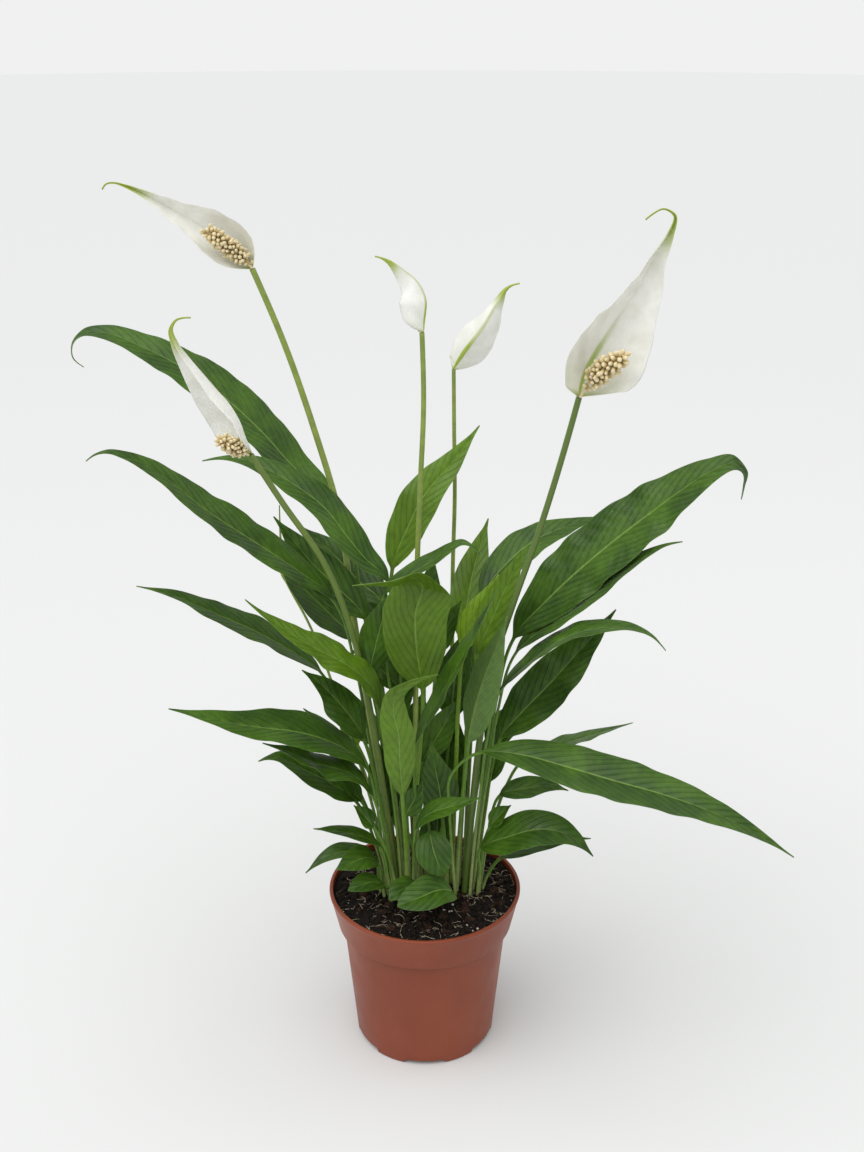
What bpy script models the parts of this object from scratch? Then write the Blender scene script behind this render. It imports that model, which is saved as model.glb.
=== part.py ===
"""Peace lily in a plastic nursery pot.

The plant grows from two close crowns in a 12 cm pot: long leaves on upright petioles, five open flowers
and one closed bud. Every leaf is one body with its petiole. A flower is a stem, a spathe and a spadix.

Frame: origin at the middle of the pot's foot, +Z up, the front of the plant towards -Y.
Design values are millimetres and degrees. SCALE turns millimetres into metres when a mesh is made.
"""

from dataclasses import dataclass
from math import cos, pi, radians, sin, sqrt

import bmesh
import bpy
import numpy as np

SCALE = 0.001              # millimetres to metres
GAP = 0.3                  # clearance that touching pieces keep

# Pot
POT_HEIGHT = 105.0
POT_SIDES = 48
RIM_RADIUS = 60.0          # outer radius at the lip
BAND_HEIGHT = 24.4         # the stacking band under the lip
BAND_RADIUS = 54.9         # outer radius at the band's lower edge
BODY_RADIUS = 51.4         # outer radius just under the band
BASE_RADIUS = 43.9         # outer radius just above the rounded base
WALL = 1.5
LIP_WIDTH = 2.2
LIP_HEIGHT = 1.6
BASE_ROUND = 0.6           # how far the base corner is rounded in
FOOT_HEIGHT = 3.4          # the feet lift the floor off the table
FOOT_WIDTH = 4.0
FLOOR = 2.0                # thickness of the floor
NOTCHES = 6                # water gaps between the feet, and as many drain holes
NOTCH_WIDTH = 25.0
NOTCH_HEIGHT = 3.0
DRAIN_RADIUS = 3.5
DRAIN_CIRCLE = 30.0        # radius of the circle that the drain holes stand on

# Soil
SOIL_TOP = 102.0
SOIL_DIP = 0.7             # the soil is lower at the wall
SOIL_FLAT = 44.0           # radius of the level middle

# Leaf sections
PETIOLE_WIDE = 1.4         # half width of a petiole at the soil
PETIOLE_DEEP = 1.3         # half depth there
PETIOLE_TAPER = 0.75       # size at the blade against the size at the soil
PETIOLE_AT = (0.0, 0.1, 0.3, 0.53, 0.77, 1.0)
BLADE_AT = (0.05, 0.14, 0.27, 0.42, 0.57, 0.71, 0.83, 0.93, 1.0)
HOOKED_AT = (0.05, 0.14, 0.27, 0.42, 0.57, 0.7, 0.8, 0.87, 0.92, 0.96, 1.0)
HOOKED = 7                 # a blade with as many points has a long or a curled tip
BLADE_COLUMNS = 5
BLADE_THICK = 0.7
MIDRIB_THICK = 1.6         # at the base of the blade
TIP_HALF = 0.35            # half width where the tip ends

# Flower sections
STEM_RADIUS = 2.1          # at the soil
STEM_TOP_RADIUS = 1.65
STEM_SIDES = 8
STEM_AT = (0.0, 0.08, 0.2, 0.34, 0.48, 0.62, 0.76, 0.89, 1.0)
SPATHE_AT = (0.0, 0.04, 0.1, 0.19, 0.3, 0.42, 0.54, 0.66, 0.77, 0.86, 0.92, 0.96, 1.0)
SPATHE_COLUMNS = 7
SPATHE_THICK = 0.7
SPATHE_FOOT = 1.2          # half width where the spathe leaves the stem
SPADIX_SIDES = 8
STIPE_RADIUS = 0.8         # the short neck that the spadix stands on
SPADIX_SHIFT = 1.3         # the spadix and the spathe stand side by side on the stem's end
SPADIX_AT = (0.04, 0.14, 0.35, 0.58, 0.78, 0.91, 0.98)
SPADIX_TAPER = 0.22
BUD_STEM_RADIUS = 1.0
BUD_RADIUS = 2.3
ABOVE_LINE = 0.3           # share of a blade's thickness that lies above the middle line
CURL_STEPS = 8             # steps that a curled half section is added up in

@dataclass
class Leaf:
    """One leaf: where it leaves the soil, the line of its midrib and the shape of its blade."""

    name: str
    root: tuple                 # x and y on the soil
    blade: list                 # points along the midrib, from the blade's base to its tip
    width: float
    looks: tuple                # the way that the middle of the upper side faces
    fold: float = 14.0          # how far each half rises from the midrib
    bend: float = -12.0         # how far each half curls on its way to the margin
    shape: tuple = (0.8, 1.35)  # outline powers: small first for a blunt base, large second for a long tip
    petiole: tuple = ()         # points between the soil and the blade, where the petiole isn't a plain bow
    lean: float = 0.3           # how soon the petiole leans over, 0.45 is a straight line


@dataclass
class Flower:
    """One open flower: a stem, the spathe that shields it and the spadix in front of the spathe."""

    name: str
    root: tuple                 # x and y on the soil
    stem: list                  # points above the soil, up to the stem's end
    spathe: list                # points along the spathe's midrib, after its foot
    width: float
    looks: tuple                # the way that the hollow side faces
    spadix: tuple               # direction of the spadix
    fold: tuple = (16.0, 48.0)  # how far each half rises from the midrib, at the foot and at the tip
    bend: tuple = (58.0, 30.0)  # how far each half curls, at the foot and at the tip
    shape: tuple = (0.62, 1.7)
    spadix_length: float = 29.0
    spadix_radius: float = 5.2
    stipe: float = 3.0          # length of the neck that the spadix stands on
    slim: float = 1.0           # thickness of the stem against the others


LEAVES = [
    # Left crown, from the top of the plant down
    Leaf("leaf_01", (-18, 12.5), [(-52, 25, 353), (-72, 30, 368), (-101, 37, 398), (-134, 43, 424),
         (-170, 49, 441), (-191, 52, 446), (-202, 54, 440), (-204, 55, 430), (-198, 55, 424)], 33,
         (0.1, -0.45, 1)),
    Leaf("leaf_02", (-22, 3.6), [(-52, -7, 303), (-71, -11, 323), (-98, -18, 346), (-121, -24, 366),
         (-142, -29, 387), (-159, -32, 398), (-171, -34, 401), (-180, -34, 396)], 30, (0, -0.3, 1)),
    Leaf("leaf_03", (-11.5, 8), [(-20, -5, 313), (-37, -3, 331), (-55, 2, 355), (-81, 8, 373),
         (-106, 13, 382), (-126, 15, 380)], 26, (0.2, -0.4, 1)),
    Leaf("leaf_04", (-13.7, 1), [(-34, 0, 288), (-49, 4, 305), (-64, 8, 319), (-76, 12, 333),
         (-87, 16, 346)], 24, (0.2, -1, 0.6)),
    Leaf("leaf_05", (-15.5, 9), [(-24, 24, 286), (-39, 35, 297), (-57, 45, 313), (-75, 53, 326)], 26,
         (0.3, -0.7, 0.7)),
    Leaf("leaf_06", (-23, 10), [(-43, 16, 267), (-58, 24, 282), (-75, 31, 297), (-89, 38, 309)], 32,
         (0, -0.2, 1)),
    Leaf("leaf_07", (-22.5, 0.5), [(-60, -8, 257), (-78, -12, 274), (-102, -18, 292), (-121, -22, 303),
         (-138, -26, 314), (-151, -28, 319), (-160, -28, 321)], 26, (0, -0.2, 1)),
    Leaf("leaf_08", (-14, -7.5), [(-25, -22, 232), (-29, -27, 256), (-45, -32, 275), (-65, -36, 289),
         (-84, -40, 305), (-98, -42, 319)], 26, (0.2, -0.3, 1)),
    Leaf("leaf_09", (-19, -6.5), [(-36, -16, 218), (-47, -20, 240), (-59, -22, 256), (-70, -24, 267)], 22,
         (0.2, -0.7, 1)),
    Leaf("leaf_10", (-23, -7.5), [(-34, -26, 204), (-49, -32, 222), (-74, -42, 237), (-101, -50, 245),
         (-122, -56, 254), (-141, -60, 261)], 32, (0, -0.3, 1)),
    Leaf("leaf_11", (-23.5, 7), [(-45, 8, 179), (-55, 16, 196), (-66, 22, 209), (-75, 26, 216)], 18,
         (0, -0.2, 1)),
    Leaf("leaf_12", (-19, -11), [(-31, -30, 188), (-43, -36, 206), (-61, -42, 216), (-76, -48, 227),
         (-91, -52, 235)], 22, (0.2, -0.2, 1)),
    Leaf("leaf_13", (-25, 4), [(-42, -10, 172), (-57, -14, 187), (-73, -18, 199), (-87, -20, 208),
         (-98, -22, 206)], 24, (0, -0.4, 1)),
    Leaf("leaf_14", (-20.5, -14.5), [(-27, -20, 146), (-39, -24, 156), (-53, -28, 162), (-66, -32, 166)],
         15, (0, -0.1, 1)),
    Leaf("leaf_15", (-27.5, -4), [(-31, -7, 130), (-43, -10, 136), (-58, -14, 136), (-73, -19, 126)], 15,
         (0.2, -0.1, 1)),
    Leaf("leaf_16", (-25, -9.5), [(-29, -15, 131), (-35, -20, 138), (-44, -27, 139), (-53, -33, 138)], 18,
         (0, -0.6, 1), shape=(0.7, 1.0)),
    Leaf("leaf_17", (-16, -14), [(-25, -22, 120), (-32, -27, 125), (-39, -32, 126), (-46, -36, 125)], 16,
         (0, -0.3, 1), shape=(0.65, 0.85)),
    Leaf("leaf_18", (-9, -14), [(-3, -24, 117), (-8, -30, 124), (-15, -36, 125), (-21, -42, 122)], 16,
         (0.2, -0.3, 1), shape=(0.6, 0.8)),
    Leaf("leaf_19", (-1, -14), [(17, -30, 120), (9, -38, 127), (-3, -46, 127), (-16, -52, 125)], 23,
         (0.2, -0.4, 1), shape=(0.55, 0.7)),
    # Between the crowns
    Leaf("leaf_20", (4, -9), [(3, -21, 157), (5, -28, 150), (8, -32, 142), (11, -33, 133)], 22,
         (0, -1, 0.4), shape=(0.6, 0.8)),
    Leaf("leaf_21", (-7.5, -11.5), [(-5, -30, 165), (3, -36, 179), (18, -42, 188), (33, -46, 196)], 17,
         (-0.2, -0.4, 1)),
    Leaf("leaf_22", (-10.5, -11), [(-13, -34, 190), (-14, -38, 213), (-15, -40, 238), (-18, -42, 257),
         (-9, -48, 270), (8, -52, 278)], 19, (0, -1, 0.3)),
    Leaf("leaf_23", (-7, -4.5), [(-1, -18, 251), (-4, -20, 275), (-5, -21, 300), (-1, -24, 326),
         (-13, -34, 327), (-39, -44, 328)], 38, (0, -1, 0.3)),
    Leaf("leaf_24", (-9.5, 0), [(-23, -10, 307), (-11, -10, 319), (3, -11, 328), (16, -12, 338),
         (24, -13, 341), (31, -15, 335)], 17, (0, -0.2, 1)),
    Leaf("leaf_25", (-6.5, 13), [(-19, 20, 311), (-11, 24, 333), (0, 28, 355), (16, 33, 373),
         (32, 38, 394)], 25, (-0.4, -1, 0.5)),
    Leaf("leaf_26", (-13, -3.5), [(-31, -10, 259), (-28, -11, 277), (-23, -12, 296), (-17, -12, 313)], 22,
         (-0.3, -1, 0.4)),
    Leaf("leaf_27", (-4, -5), [(-5, -30, 222), (6, -34, 249), (18, -38, 275), (30, -42, 302),
         (40, -44, 326)], 26, (-1, -0.1, 0.4)),
    Leaf("leaf_28", (14, -4), [(11, -5, 156), (9, -7, 178), (6, -8, 196), (4, -8, 212)], 24,
         (0, -1, 0.3)),
    # Right crown
    Leaf("leaf_29", (17, 10), [(23, 22, 264), (25, 32, 280), (29, 44, 298), (34, 55, 313), (39, 64, 327)],
         23, (0, -1, 0.3)),
    Leaf("leaf_30", (17, 4.5), [(23, -4, 270), (29, -2, 289), (37, 2, 303), (43, 6, 314)], 16,
         (-0.3, -1, 0.4)),
    Leaf("leaf_31", (21, 3), [(31, -9.6, 270), (39, -7.2, 291), (49, -4, 315), (59, 0, 335)], 19,
         (-0.5, -1, 0.4)),
    Leaf("leaf_32", (25, 10), [(34, 22, 291), (48, 32, 309), (66, 42, 321), (88, 52, 327),
         (110, 60, 330)], 26, (-0.1, -0.4, 1)),
    Leaf("leaf_33", (29.5, 2), [(52, 2, 274), (70, 0, 299), (95, -2, 326), (122, -4, 351), (148, -6, 373),
         (166, -8, 385), (176, -8, 385), (177, -8, 365)], 43, (-0.2, -0.6, 1)),
    Leaf("leaf_34", (30, -3), [(53, -8, 270), (72, -12, 290), (94, -16, 310), (118, -20, 332),
         (131, -22, 342), (143, -24, 346)], 24, (-0.3, -0.2, 1)),
    Leaf("leaf_35", (28, -8), [(43, -22, 251), (58, -26, 271), (77, -30, 289), (97, -34, 298),
         (116, -36, 299), (127, -38, 295), (135, -40, 287)], 24, (-0.3, 0, 1)),
    Leaf("leaf_36", (32.5, 6.5), [(46, 4, 207), (58, 6, 223), (75, 8, 242), (93, 10, 264), (104, 11, 277),
         (113, 12, 289)], 30, (-0.2, -1, 0.8)),
    Leaf("leaf_37", (34, 12), [(59, 19, 181), (82, 36, 183), (106, 55, 181), (137, 78, 178)], 18,
         (0, 0.2, 1)),
    Leaf("leaf_38", (19, -8), [(33, -34, 219), (55, -42, 222), (83, -50, 218), (114, -58, 212),
         (144, -65, 206), (169, -71, 198), (190, -75, 188), (208, -79, 177)], 32, (0, -0.4, 1),
         petiole=((15, -22, 180), (18, -28, 207))),
    Leaf("leaf_39", (35, 4), [(46, -4, 172), (61, -6, 178), (75, -8, 181), (87, -10, 179)], 16,
         (0, -0.5, 1)),
    Leaf("leaf_40", (34, -4.5), [(34, -20, 145), (51, -28, 158), (69, -34, 167), (86, -38, 165),
         (100, -40, 152)], 28, (-0.1, -0.5, 1)),
    Leaf("leaf_41", (36, -1), [(47, -4, 127), (65, -6, 137), (83, -8, 143), (102, -10, 145)], 18,
         (-0.1, -0.2, 1)),
    Leaf("leaf_42", (20, -3.5), [(26, -26, 221), (29, -30, 243), (34, -34, 266), (40, -37, 286),
         (46, -40, 308)], 26, (1, 0.9, -0.2)),
]

FLOWERS = [
    Flower("1", (-17, 4.5), [(-40, 9, 271), (-51, 15, 359), (-68, 17, 417), (-83, 19, 464),
           (-93, 19, 488)], [(-100, 24, 495), (-112, 27, 504), (-128, 27, 514), (-145, 25, 524),
           (-159, 24, 531), (-168, 22, 533), (-171, 20, 530)], 38, (0.25, -1, 0.1), (-0.74, -0.2, 0.64),
           shape=(0.55, 2.0), spadix_length=28, stipe=4.5),
    Flower("2", (-17, -2.5), [(-39, -12, 274), (-54, -17, 326), (-69, -20, 353), (-84, -24, 380),
           (-93, -26, 397)], [(-96, -23, 405), (-101, -20, 418), (-112, -20, 433), (-123, -22, 448),
           (-129, -24, 458), (-131, -24, 466), (-128, -24, 470), (-121, -24, 471)], 34,
           (-0.8, -0.7, -0.3), (-0.6, -0.6, 0.5), bend=(34.0, 30.0), shape=(0.55, 1.8), spadix_length=18,
           spadix_radius=5.0, stipe=4.0),
    Flower("3", (-6, 4.5), [(-4, 6, 322), (-1, 9, 393), (0, 10, 429), (-1, 10, 455)], [(0, 11, 461),
           (1, 13, 472), (-3, 15, 481), (-11, 15, 488), (-18, 14, 493), (-26, 12, 496)], 30,
           (-0.9, 0.5, -0.1), (-0.6, 0.4, 0.75), spadix_length=14, spadix_radius=3.0, slim=0.85),
    Flower("4", (18, 15), [(17, 44, 293), (18, 47, 341), (18, 48, 380), (16, 48, 412), (17, 47, 425)],
           [(23, 44, 436), (33, 43, 450), (42, 45, 465), (47, 47, 472), (54, 49, 474)], 34,
           (0.2, 1, -0.2), (0.45, 0.65, 0.6), spadix_length=20, spadix_radius=4.2, slim=0.7),
    Flower("5", (25, -5), [(38, -12, 255), (49, -17, 300), (67, -19, 361), (75, -20, 393),
           (83, -20, 427)], [(85, -17, 437), (93, -12, 452), (105, -8, 470), (116, -8, 489),
           (123, -12, 506), (128, -16, 516), (128, -19, 523), (122, -21, 526), (113, -23, 521)], 58,
           (0.22, -1, -0.1), (0.66, -0.45, 0.7), fold=(12, 46), bend=(46, 30), shape=(0.55, 2.3),
           spadix_length=26, spadix_radius=6.2, stipe=10.0),
]

# The closed bud
BUD_ROOT = (-16.0, 17.0)
BUD_STEM = [(-49, 24, 209), (-59, 30, 237), (-67, 38, 259), (-82, 46, 287)]
BUD_TIP = [(-86, 47, 297), (-87, 48, 316), (-87, 49, 341)]
BUD_SWELL = (0.35, 0.75, 1.0, 0.7, 0.35, 0.25, 0.2, 0.15)   # radius along the closed spathe


def unit(vector):
    """The vector at length 1."""
    vector = np.array(vector, float)
    return vector / np.linalg.norm(vector)


def smooth_path(knots, per_span=16):
    """Points of a smooth curve through the knots, and the index of each knot among them."""
    knots = np.array(knots, float)
    steps = np.linalg.norm(np.diff(knots, axis=0), axis=1)
    times = np.concatenate([[0.0], np.cumsum(np.sqrt(steps))])
    slopes = np.diff(knots, axis=0) / np.diff(times)[:, None]
    tangents = np.empty_like(knots)
    for k in range(1, len(knots) - 1):
        before = times[k] - times[k - 1]
        after = times[k + 1] - times[k]
        tangents[k] = (slopes[k - 1] * after + slopes[k] * before) / (before + after)
    tangents[0] = 1.5 * slopes[0] - 0.5 * tangents[1]
    tangents[-1] = 1.5 * slopes[-1] - 0.5 * tangents[-2]
    points = []
    for k in range(len(knots) - 1):
        span = times[k + 1] - times[k]
        for t in np.arange(per_span) / per_span:
            points.append((2 * t**3 - 3 * t**2 + 1) * knots[k] + (t**3 - 2 * t**2 + t) * span * tangents[k]
                          + (3 * t**2 - 2 * t**3) * knots[k + 1] + (t**3 - t**2) * span * tangents[k + 1])
    points.append(knots[-1])
    return np.array(points), [k * per_span for k in range(len(knots))]


class Line:
    """A smooth line with a frame that turns as little as it can along the way."""

    def __init__(self, knots, looks, looks_at):
        self.points, self.knots_at = smooth_path(knots)
        steps = np.linalg.norm(np.diff(self.points, axis=0), axis=1)
        self.length = np.concatenate([[0.0], np.cumsum(steps)])
        along = np.gradient(self.points, self.length, axis=0)
        self.along = along / np.linalg.norm(along, axis=1)[:, None]
        start = int(np.argmin(abs(self.length - self.place(looks_at))))
        self.up = np.empty_like(self.points)
        self.up[start] = self.across(np.array(looks, float), start)
        for k in range(start + 1, len(self.points)):
            self.up[k] = self.across(self.up[k - 1], k)
        for k in range(start - 1, -1, -1):
            self.up[k] = self.across(self.up[k + 1], k)

    def across(self, vector, k):
        """The part of a vector that is square to the line at point k."""
        return unit(vector - vector.dot(self.along[k]) * self.along[k])

    def place(self, knot):
        """How far along the line a knot is, where a fraction lies between two knots."""
        low = int(knot)
        high = min(low + 1, len(self.knots_at) - 1)
        start, end = self.length[self.knots_at[low]], self.length[self.knots_at[high]]
        return start + (knot - low) * (end - start)

    def at(self, distance):
        """Position, up and right-hand side at a distance along the line."""
        def read(values):
            return np.array([np.interp(distance, self.length, values[:, axis]) for axis in range(3)])
        along = unit(read(self.along))
        up = read(self.up)
        up = unit(up - up.dot(along) * along)
        return read(self.points), up, np.cross(along, up)


def half_section(reach, fold, bend):
    """Across and up from the midrib to a point, where reach is measured along the curved half."""
    turns = fold + bend * (np.arange(CURL_STEPS) + 0.5) / CURL_STEPS
    return reach * np.mean(np.cos(turns)), reach * np.mean(np.sin(turns))


def blade_section(half, fold, bend, middle_thick, thick, columns):
    """Closed section of a blade, from its left margin over the top to the right one and back underneath."""
    top, bottom = [], []
    for share in np.linspace(-1, 1, columns):
        across, up = half_section(abs(share) * half, radians(fold), radians(bend) * abs(share))
        across = np.sign(share) * across
        local = middle_thick if abs(share) < 0.01 else thick
        on_margin = abs(share) > 0.99
        top.append((across, up + (0 if on_margin else ABOVE_LINE * local)))
        bottom.append((across, up - (0 if on_margin else (1 - ABOVE_LINE) * local)))
    return top + bottom[-2:0:-1]


def petiole_section(size):
    """Eight-sided section of a petiole, channelled above and round below."""
    wide, deep = PETIOLE_WIDE * size, PETIOLE_DEEP * size
    return [(-wide, 0.3 * deep), (-0.6 * wide, 0.62 * deep), (0, 0.4 * deep), (0.6 * wide, 0.62 * deep),
            (wide, 0.3 * deep), (0.7 * wide, -0.7 * deep), (0, -deep), (-0.7 * wide, -0.7 * deep)]


def round_section(radius, sides):
    """Points round a circle, as across and up."""
    return [(-radius * cos(2 * pi * i / sides), radius * sin(2 * pi * i / sides)) for i in range(sides)]


def outline(share, shape):
    """Half width of a blade against its widest, for a share of its length."""
    low, high = shape
    peak = low / (low + high)
    share = min(max(share, 1e-6), 1 - 1e-6)
    return (share / peak) ** low * ((1 - share) / (1 - peak)) ** high


def ring(line, distance, section, level=False):
    """A section set square to the line at a distance along it, or level where it stands on the soil."""
    place, up, side = line.at(distance)
    if level:
        side = unit((side[0], side[1], 0))
        up = np.array([-side[1], side[0], 0]) * np.sign(side[0] * up[1] - side[1] * up[0])
    return [place + side * across + up * rise for across, rise in section]


def leaf_rings(leaf):
    """Rings of points along a leaf, from the soil to the tip."""
    root = np.array([*leaf.root, SOIL_TOP + GAP])
    rise = np.array(leaf.blade[0], float) - root
    petiole = leaf.petiole or [root + rise * (leaf.lean, leaf.lean, 0.45)]
    knots = [root, *petiole, *leaf.blade]
    base_knot = len(petiole) + 1
    line = Line(knots, leaf.looks, base_knot + 0.45 * (len(leaf.blade) - 1))
    base = line.place(base_knot)
    rings = []
    for share in PETIOLE_AT:
        section = petiole_section(1 + (PETIOLE_TAPER - 1) * share)
        rings.append(ring(line, base * share, section, level=share == 0))
    for share in HOOKED_AT if len(leaf.blade) >= HOOKED else BLADE_AT:
        half = max(leaf.width / 2 * outline(share, leaf.shape), TIP_HALF)
        middle = max(MIDRIB_THICK * (1 - share) ** 0.6, 0.5)
        section = blade_section(half, leaf.fold, leaf.bend, middle, min(BLADE_THICK, half), BLADE_COLUMNS)
        rings.append(ring(line, base + (line.length[-1] - base) * share, section))
    return rings


def stem_line(flower):
    """The line of a flower's stem, from the soil to its end."""
    knots = [(*flower.root, SOIL_TOP + GAP), *flower.stem]
    return Line(knots, flower.looks, len(knots) - 1)


def stem_rings(flower):
    """Rings of points along a flower's stem."""
    line = stem_line(flower)
    rings = []
    for share in STEM_AT:
        radius = (STEM_RADIUS + (STEM_TOP_RADIUS - STEM_RADIUS) * share) * flower.slim
        rings.append(ring(line, line.length[-1] * share, round_section(radius, STEM_SIDES), level=share == 0))
    return rings


def spathe_rings(flower):
    """Rings of points along a spathe, from the stem's end to the hooked tip."""
    stem = stem_line(flower)
    end, up, _ = stem.at(stem.length[-1])
    foot = end + stem.along[-1] * (GAP + 0.1) - up * SPADIX_SHIFT * 0.5
    line = Line([foot, *flower.spathe], flower.looks, 1.5)
    rings = []
    for share in SPATHE_AT:
        fold = flower.fold[0] + (flower.fold[1] - flower.fold[0]) * share
        bend = flower.bend[0] + (flower.bend[1] - flower.bend[0]) * share
        half = max(flower.width / 2 * outline(share, flower.shape), SPATHE_FOOT if share < 0.5 else TIP_HALF)
        section = blade_section(half, fold, bend, SPATHE_THICK * 1.2, SPATHE_THICK, SPATHE_COLUMNS)
        rings.append(ring(line, line.length[-1] * share, section))
    return rings


def spadix_rings(flower):
    """Rings of points along a spadix: a short neck, then the rounded spike."""
    stem = stem_line(flower)
    end, up, _ = stem.at(stem.length[-1])
    start = end + stem.along[-1] * (GAP + 0.2) + up * SPADIX_SHIFT
    neck = start + unit(stem.along[-1] + unit(flower.spadix)) * flower.stipe
    line = Line([start, neck, neck + unit(flower.spadix) * flower.spadix_length], flower.looks, 0)
    spike = line.length[-1] - flower.stipe
    rings = [ring(line, 0, round_section(STIPE_RADIUS, SPADIX_SIDES)),
             ring(line, flower.stipe, round_section(STIPE_RADIUS, SPADIX_SIDES))]
    for share in SPADIX_AT:
        rounding = sqrt(1 - (2 * share - 1) ** 6)
        radius = flower.spadix_radius * (1 - SPADIX_TAPER * share) * rounding
        rings.append(ring(line, flower.stipe + spike * share, round_section(radius, SPADIX_SIDES)))
    return rings


def bud_rings():
    """Rings of points along the closed bud, whose spathe is still rolled round its stem."""
    knots = [(*BUD_ROOT, SOIL_TOP + GAP), *BUD_STEM, *BUD_TIP]
    line = Line(knots, (0, -1, 0.3), len(BUD_STEM))
    swell = line.place(len(BUD_STEM))
    rings = []
    for share in STEM_AT:
        radius = BUD_STEM_RADIUS * (1 - 0.25 * share)
        rings.append(ring(line, swell * share, round_section(radius, STEM_SIDES), level=share == 0))
    for k, size in enumerate(BUD_SWELL):
        distance = swell + (line.length[-1] - swell) * ((k + 1) / len(BUD_SWELL)) ** 1.2
        rings.append(ring(line, distance, round_section(BUD_RADIUS * size, STEM_SIDES)))
    return rings


def loft(rings):
    """Points and faces of one closed body through the rings, which all have as many points."""
    count = len(rings[0])
    faces = [tuple(reversed(range(count)))]
    for k in range(len(rings) - 1):
        for i in range(count):
            j = (i + 1) % count
            faces.append((k * count + i, k * count + j, (k + 1) * count + j, (k + 1) * count + i))
    last = (len(rings) - 1) * count
    faces.append(tuple(range(last, last + count)))
    return [point for turn in rings for point in turn], faces


def turned(profile, sides):
    """Points and faces of a body turned about Z. The profile starts and ends on the axis."""
    points = [(0, 0, profile[0][1]), (0, 0, profile[-1][1])]
    rows = []
    for radius, height in profile[1:-1]:
        rows.append(range(len(points), len(points) + sides))
        turns = [2 * pi * (i + 0.5) / sides for i in range(sides)]
        points += [(radius * cos(turn), radius * sin(turn), height) for turn in turns]
    faces = []
    for i in range(sides):
        j = (i + 1) % sides
        faces.append((0, rows[0][j], rows[0][i]))
        faces.append((1, rows[-1][i], rows[-1][j]))
        for low, high in zip(rows, rows[1:]):
            faces.append((low[i], low[j], high[j], high[i]))
    return points, faces


def inner_radius(height):
    """Radius of the pot's inside at a height."""
    step = POT_HEIGHT - BAND_HEIGHT
    if height > step:
        share = (height - step) / BAND_HEIGHT
        return BAND_RADIUS + (RIM_RADIUS - BAND_RADIUS) * share - WALL
    share = (height - FOOT_HEIGHT) / (step - FOOT_HEIGHT)
    return BASE_RADIUS + (BODY_RADIUS - BASE_RADIUS) * share - WALL


def pot_profile():
    """Half section of the pot, from the middle of the floor's underside round to its top."""
    step = POT_HEIGHT - BAND_HEIGHT
    foot_outer = BASE_RADIUS - BASE_ROUND
    floor_top = FOOT_HEIGHT + FLOOR
    return [
        (0, FOOT_HEIGHT),
        (foot_outer - FOOT_WIDTH, FOOT_HEIGHT),
        (foot_outer - FOOT_WIDTH, 0),
        (foot_outer, 0),
        (foot_outer + 0.7 * BASE_ROUND, 0.3 * BASE_ROUND),
        (BASE_RADIUS, BASE_ROUND),
        (BODY_RADIUS, step - 0.8),
        (BODY_RADIUS + 0.8, step),
        (BAND_RADIUS - 0.9, step + 0.3),
        (BAND_RADIUS, step + 1.3),
        (RIM_RADIUS - 0.3, POT_HEIGHT - LIP_HEIGHT),
        (RIM_RADIUS, POT_HEIGHT - 0.7 * LIP_HEIGHT),
        (RIM_RADIUS - 0.5, POT_HEIGHT),
        (RIM_RADIUS - LIP_WIDTH, POT_HEIGHT),
        (inner_radius(POT_HEIGHT - LIP_HEIGHT), POT_HEIGHT - LIP_HEIGHT),
        (inner_radius(step + 1.6), step + 1.6),
        (inner_radius(step - 2.2), step - 2.2),
        (inner_radius(floor_top), floor_top),
        (0, floor_top),
    ]


def soil_profile():
    """Half section of the soil, from the middle of its underside to the middle of its top."""
    floor_top = FOOT_HEIGHT + FLOOR + GAP
    step = POT_HEIGHT - BAND_HEIGHT
    inset = GAP + 0.1
    edge = SOIL_TOP - SOIL_DIP
    return [
        (0, floor_top),
        (inner_radius(floor_top) - inset, floor_top),
        (inner_radius(step - 2.2) - inset, step - 2.2),
        (inner_radius(step + 1.6) - inset - 0.2, step + 1.9),
        (inner_radius(edge) - inset, edge),
        (SOIL_FLAT, SOIL_TOP),
        (0, SOIL_TOP),
    ]


def material(name, color, roughness):
    """A plain Principled material."""
    made = bpy.data.materials.new(name)
    made.use_nodes = True
    shader = made.node_tree.nodes["Principled BSDF"]
    shader.inputs["Base Color"].default_value = (*color, 1)
    shader.inputs["Roughness"].default_value = roughness
    shader.inputs["Metallic"].default_value = 0.0
    made.diffuse_color = (*color, 1)
    return made


def add_object(name, points, faces, surface):
    """A named object from points in millimetres, with its faces turned outwards."""
    mesh = bpy.data.meshes.new(name)
    mesh.from_pydata([tuple(np.array(point, float) * SCALE) for point in points], [], faces)
    shape = bmesh.new()
    shape.from_mesh(mesh)
    bmesh.ops.recalc_face_normals(shape, faces=shape.faces)
    shape.to_mesh(mesh)
    shape.free()
    mesh.shade_smooth()
    mesh.set_sharp_from_angle(angle=radians(40))
    mesh.materials.append(surface)
    made = bpy.data.objects.new(name, mesh)
    bpy.context.scene.collection.objects.link(made)
    return made


def cut(target, name, points, faces, surface):
    """Cuts a closed shape out of the target."""
    cutter = add_object(name, points, faces, surface)
    cutter.hide_render = True
    cutter.display_type = "WIRE"
    boolean = target.modifiers.new(name, "BOOLEAN")
    boolean.operation = "DIFFERENCE"
    boolean.solver = "EXACT"
    boolean.object = cutter


def block(low, high, turn):
    """Points and faces of a box, turned about Z."""
    corners = [(x, y, z) for z in (low[2], high[2]) for y in (low[1], high[1]) for x in (low[0], high[0])]
    points = [(x * cos(turn) - y * sin(turn), x * sin(turn) + y * cos(turn), z) for x, y, z in corners]
    return points, [(0, 2, 3, 1), (4, 5, 7, 6), (0, 1, 5, 4), (2, 6, 7, 3), (0, 4, 6, 2), (1, 3, 7, 5)]


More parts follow.
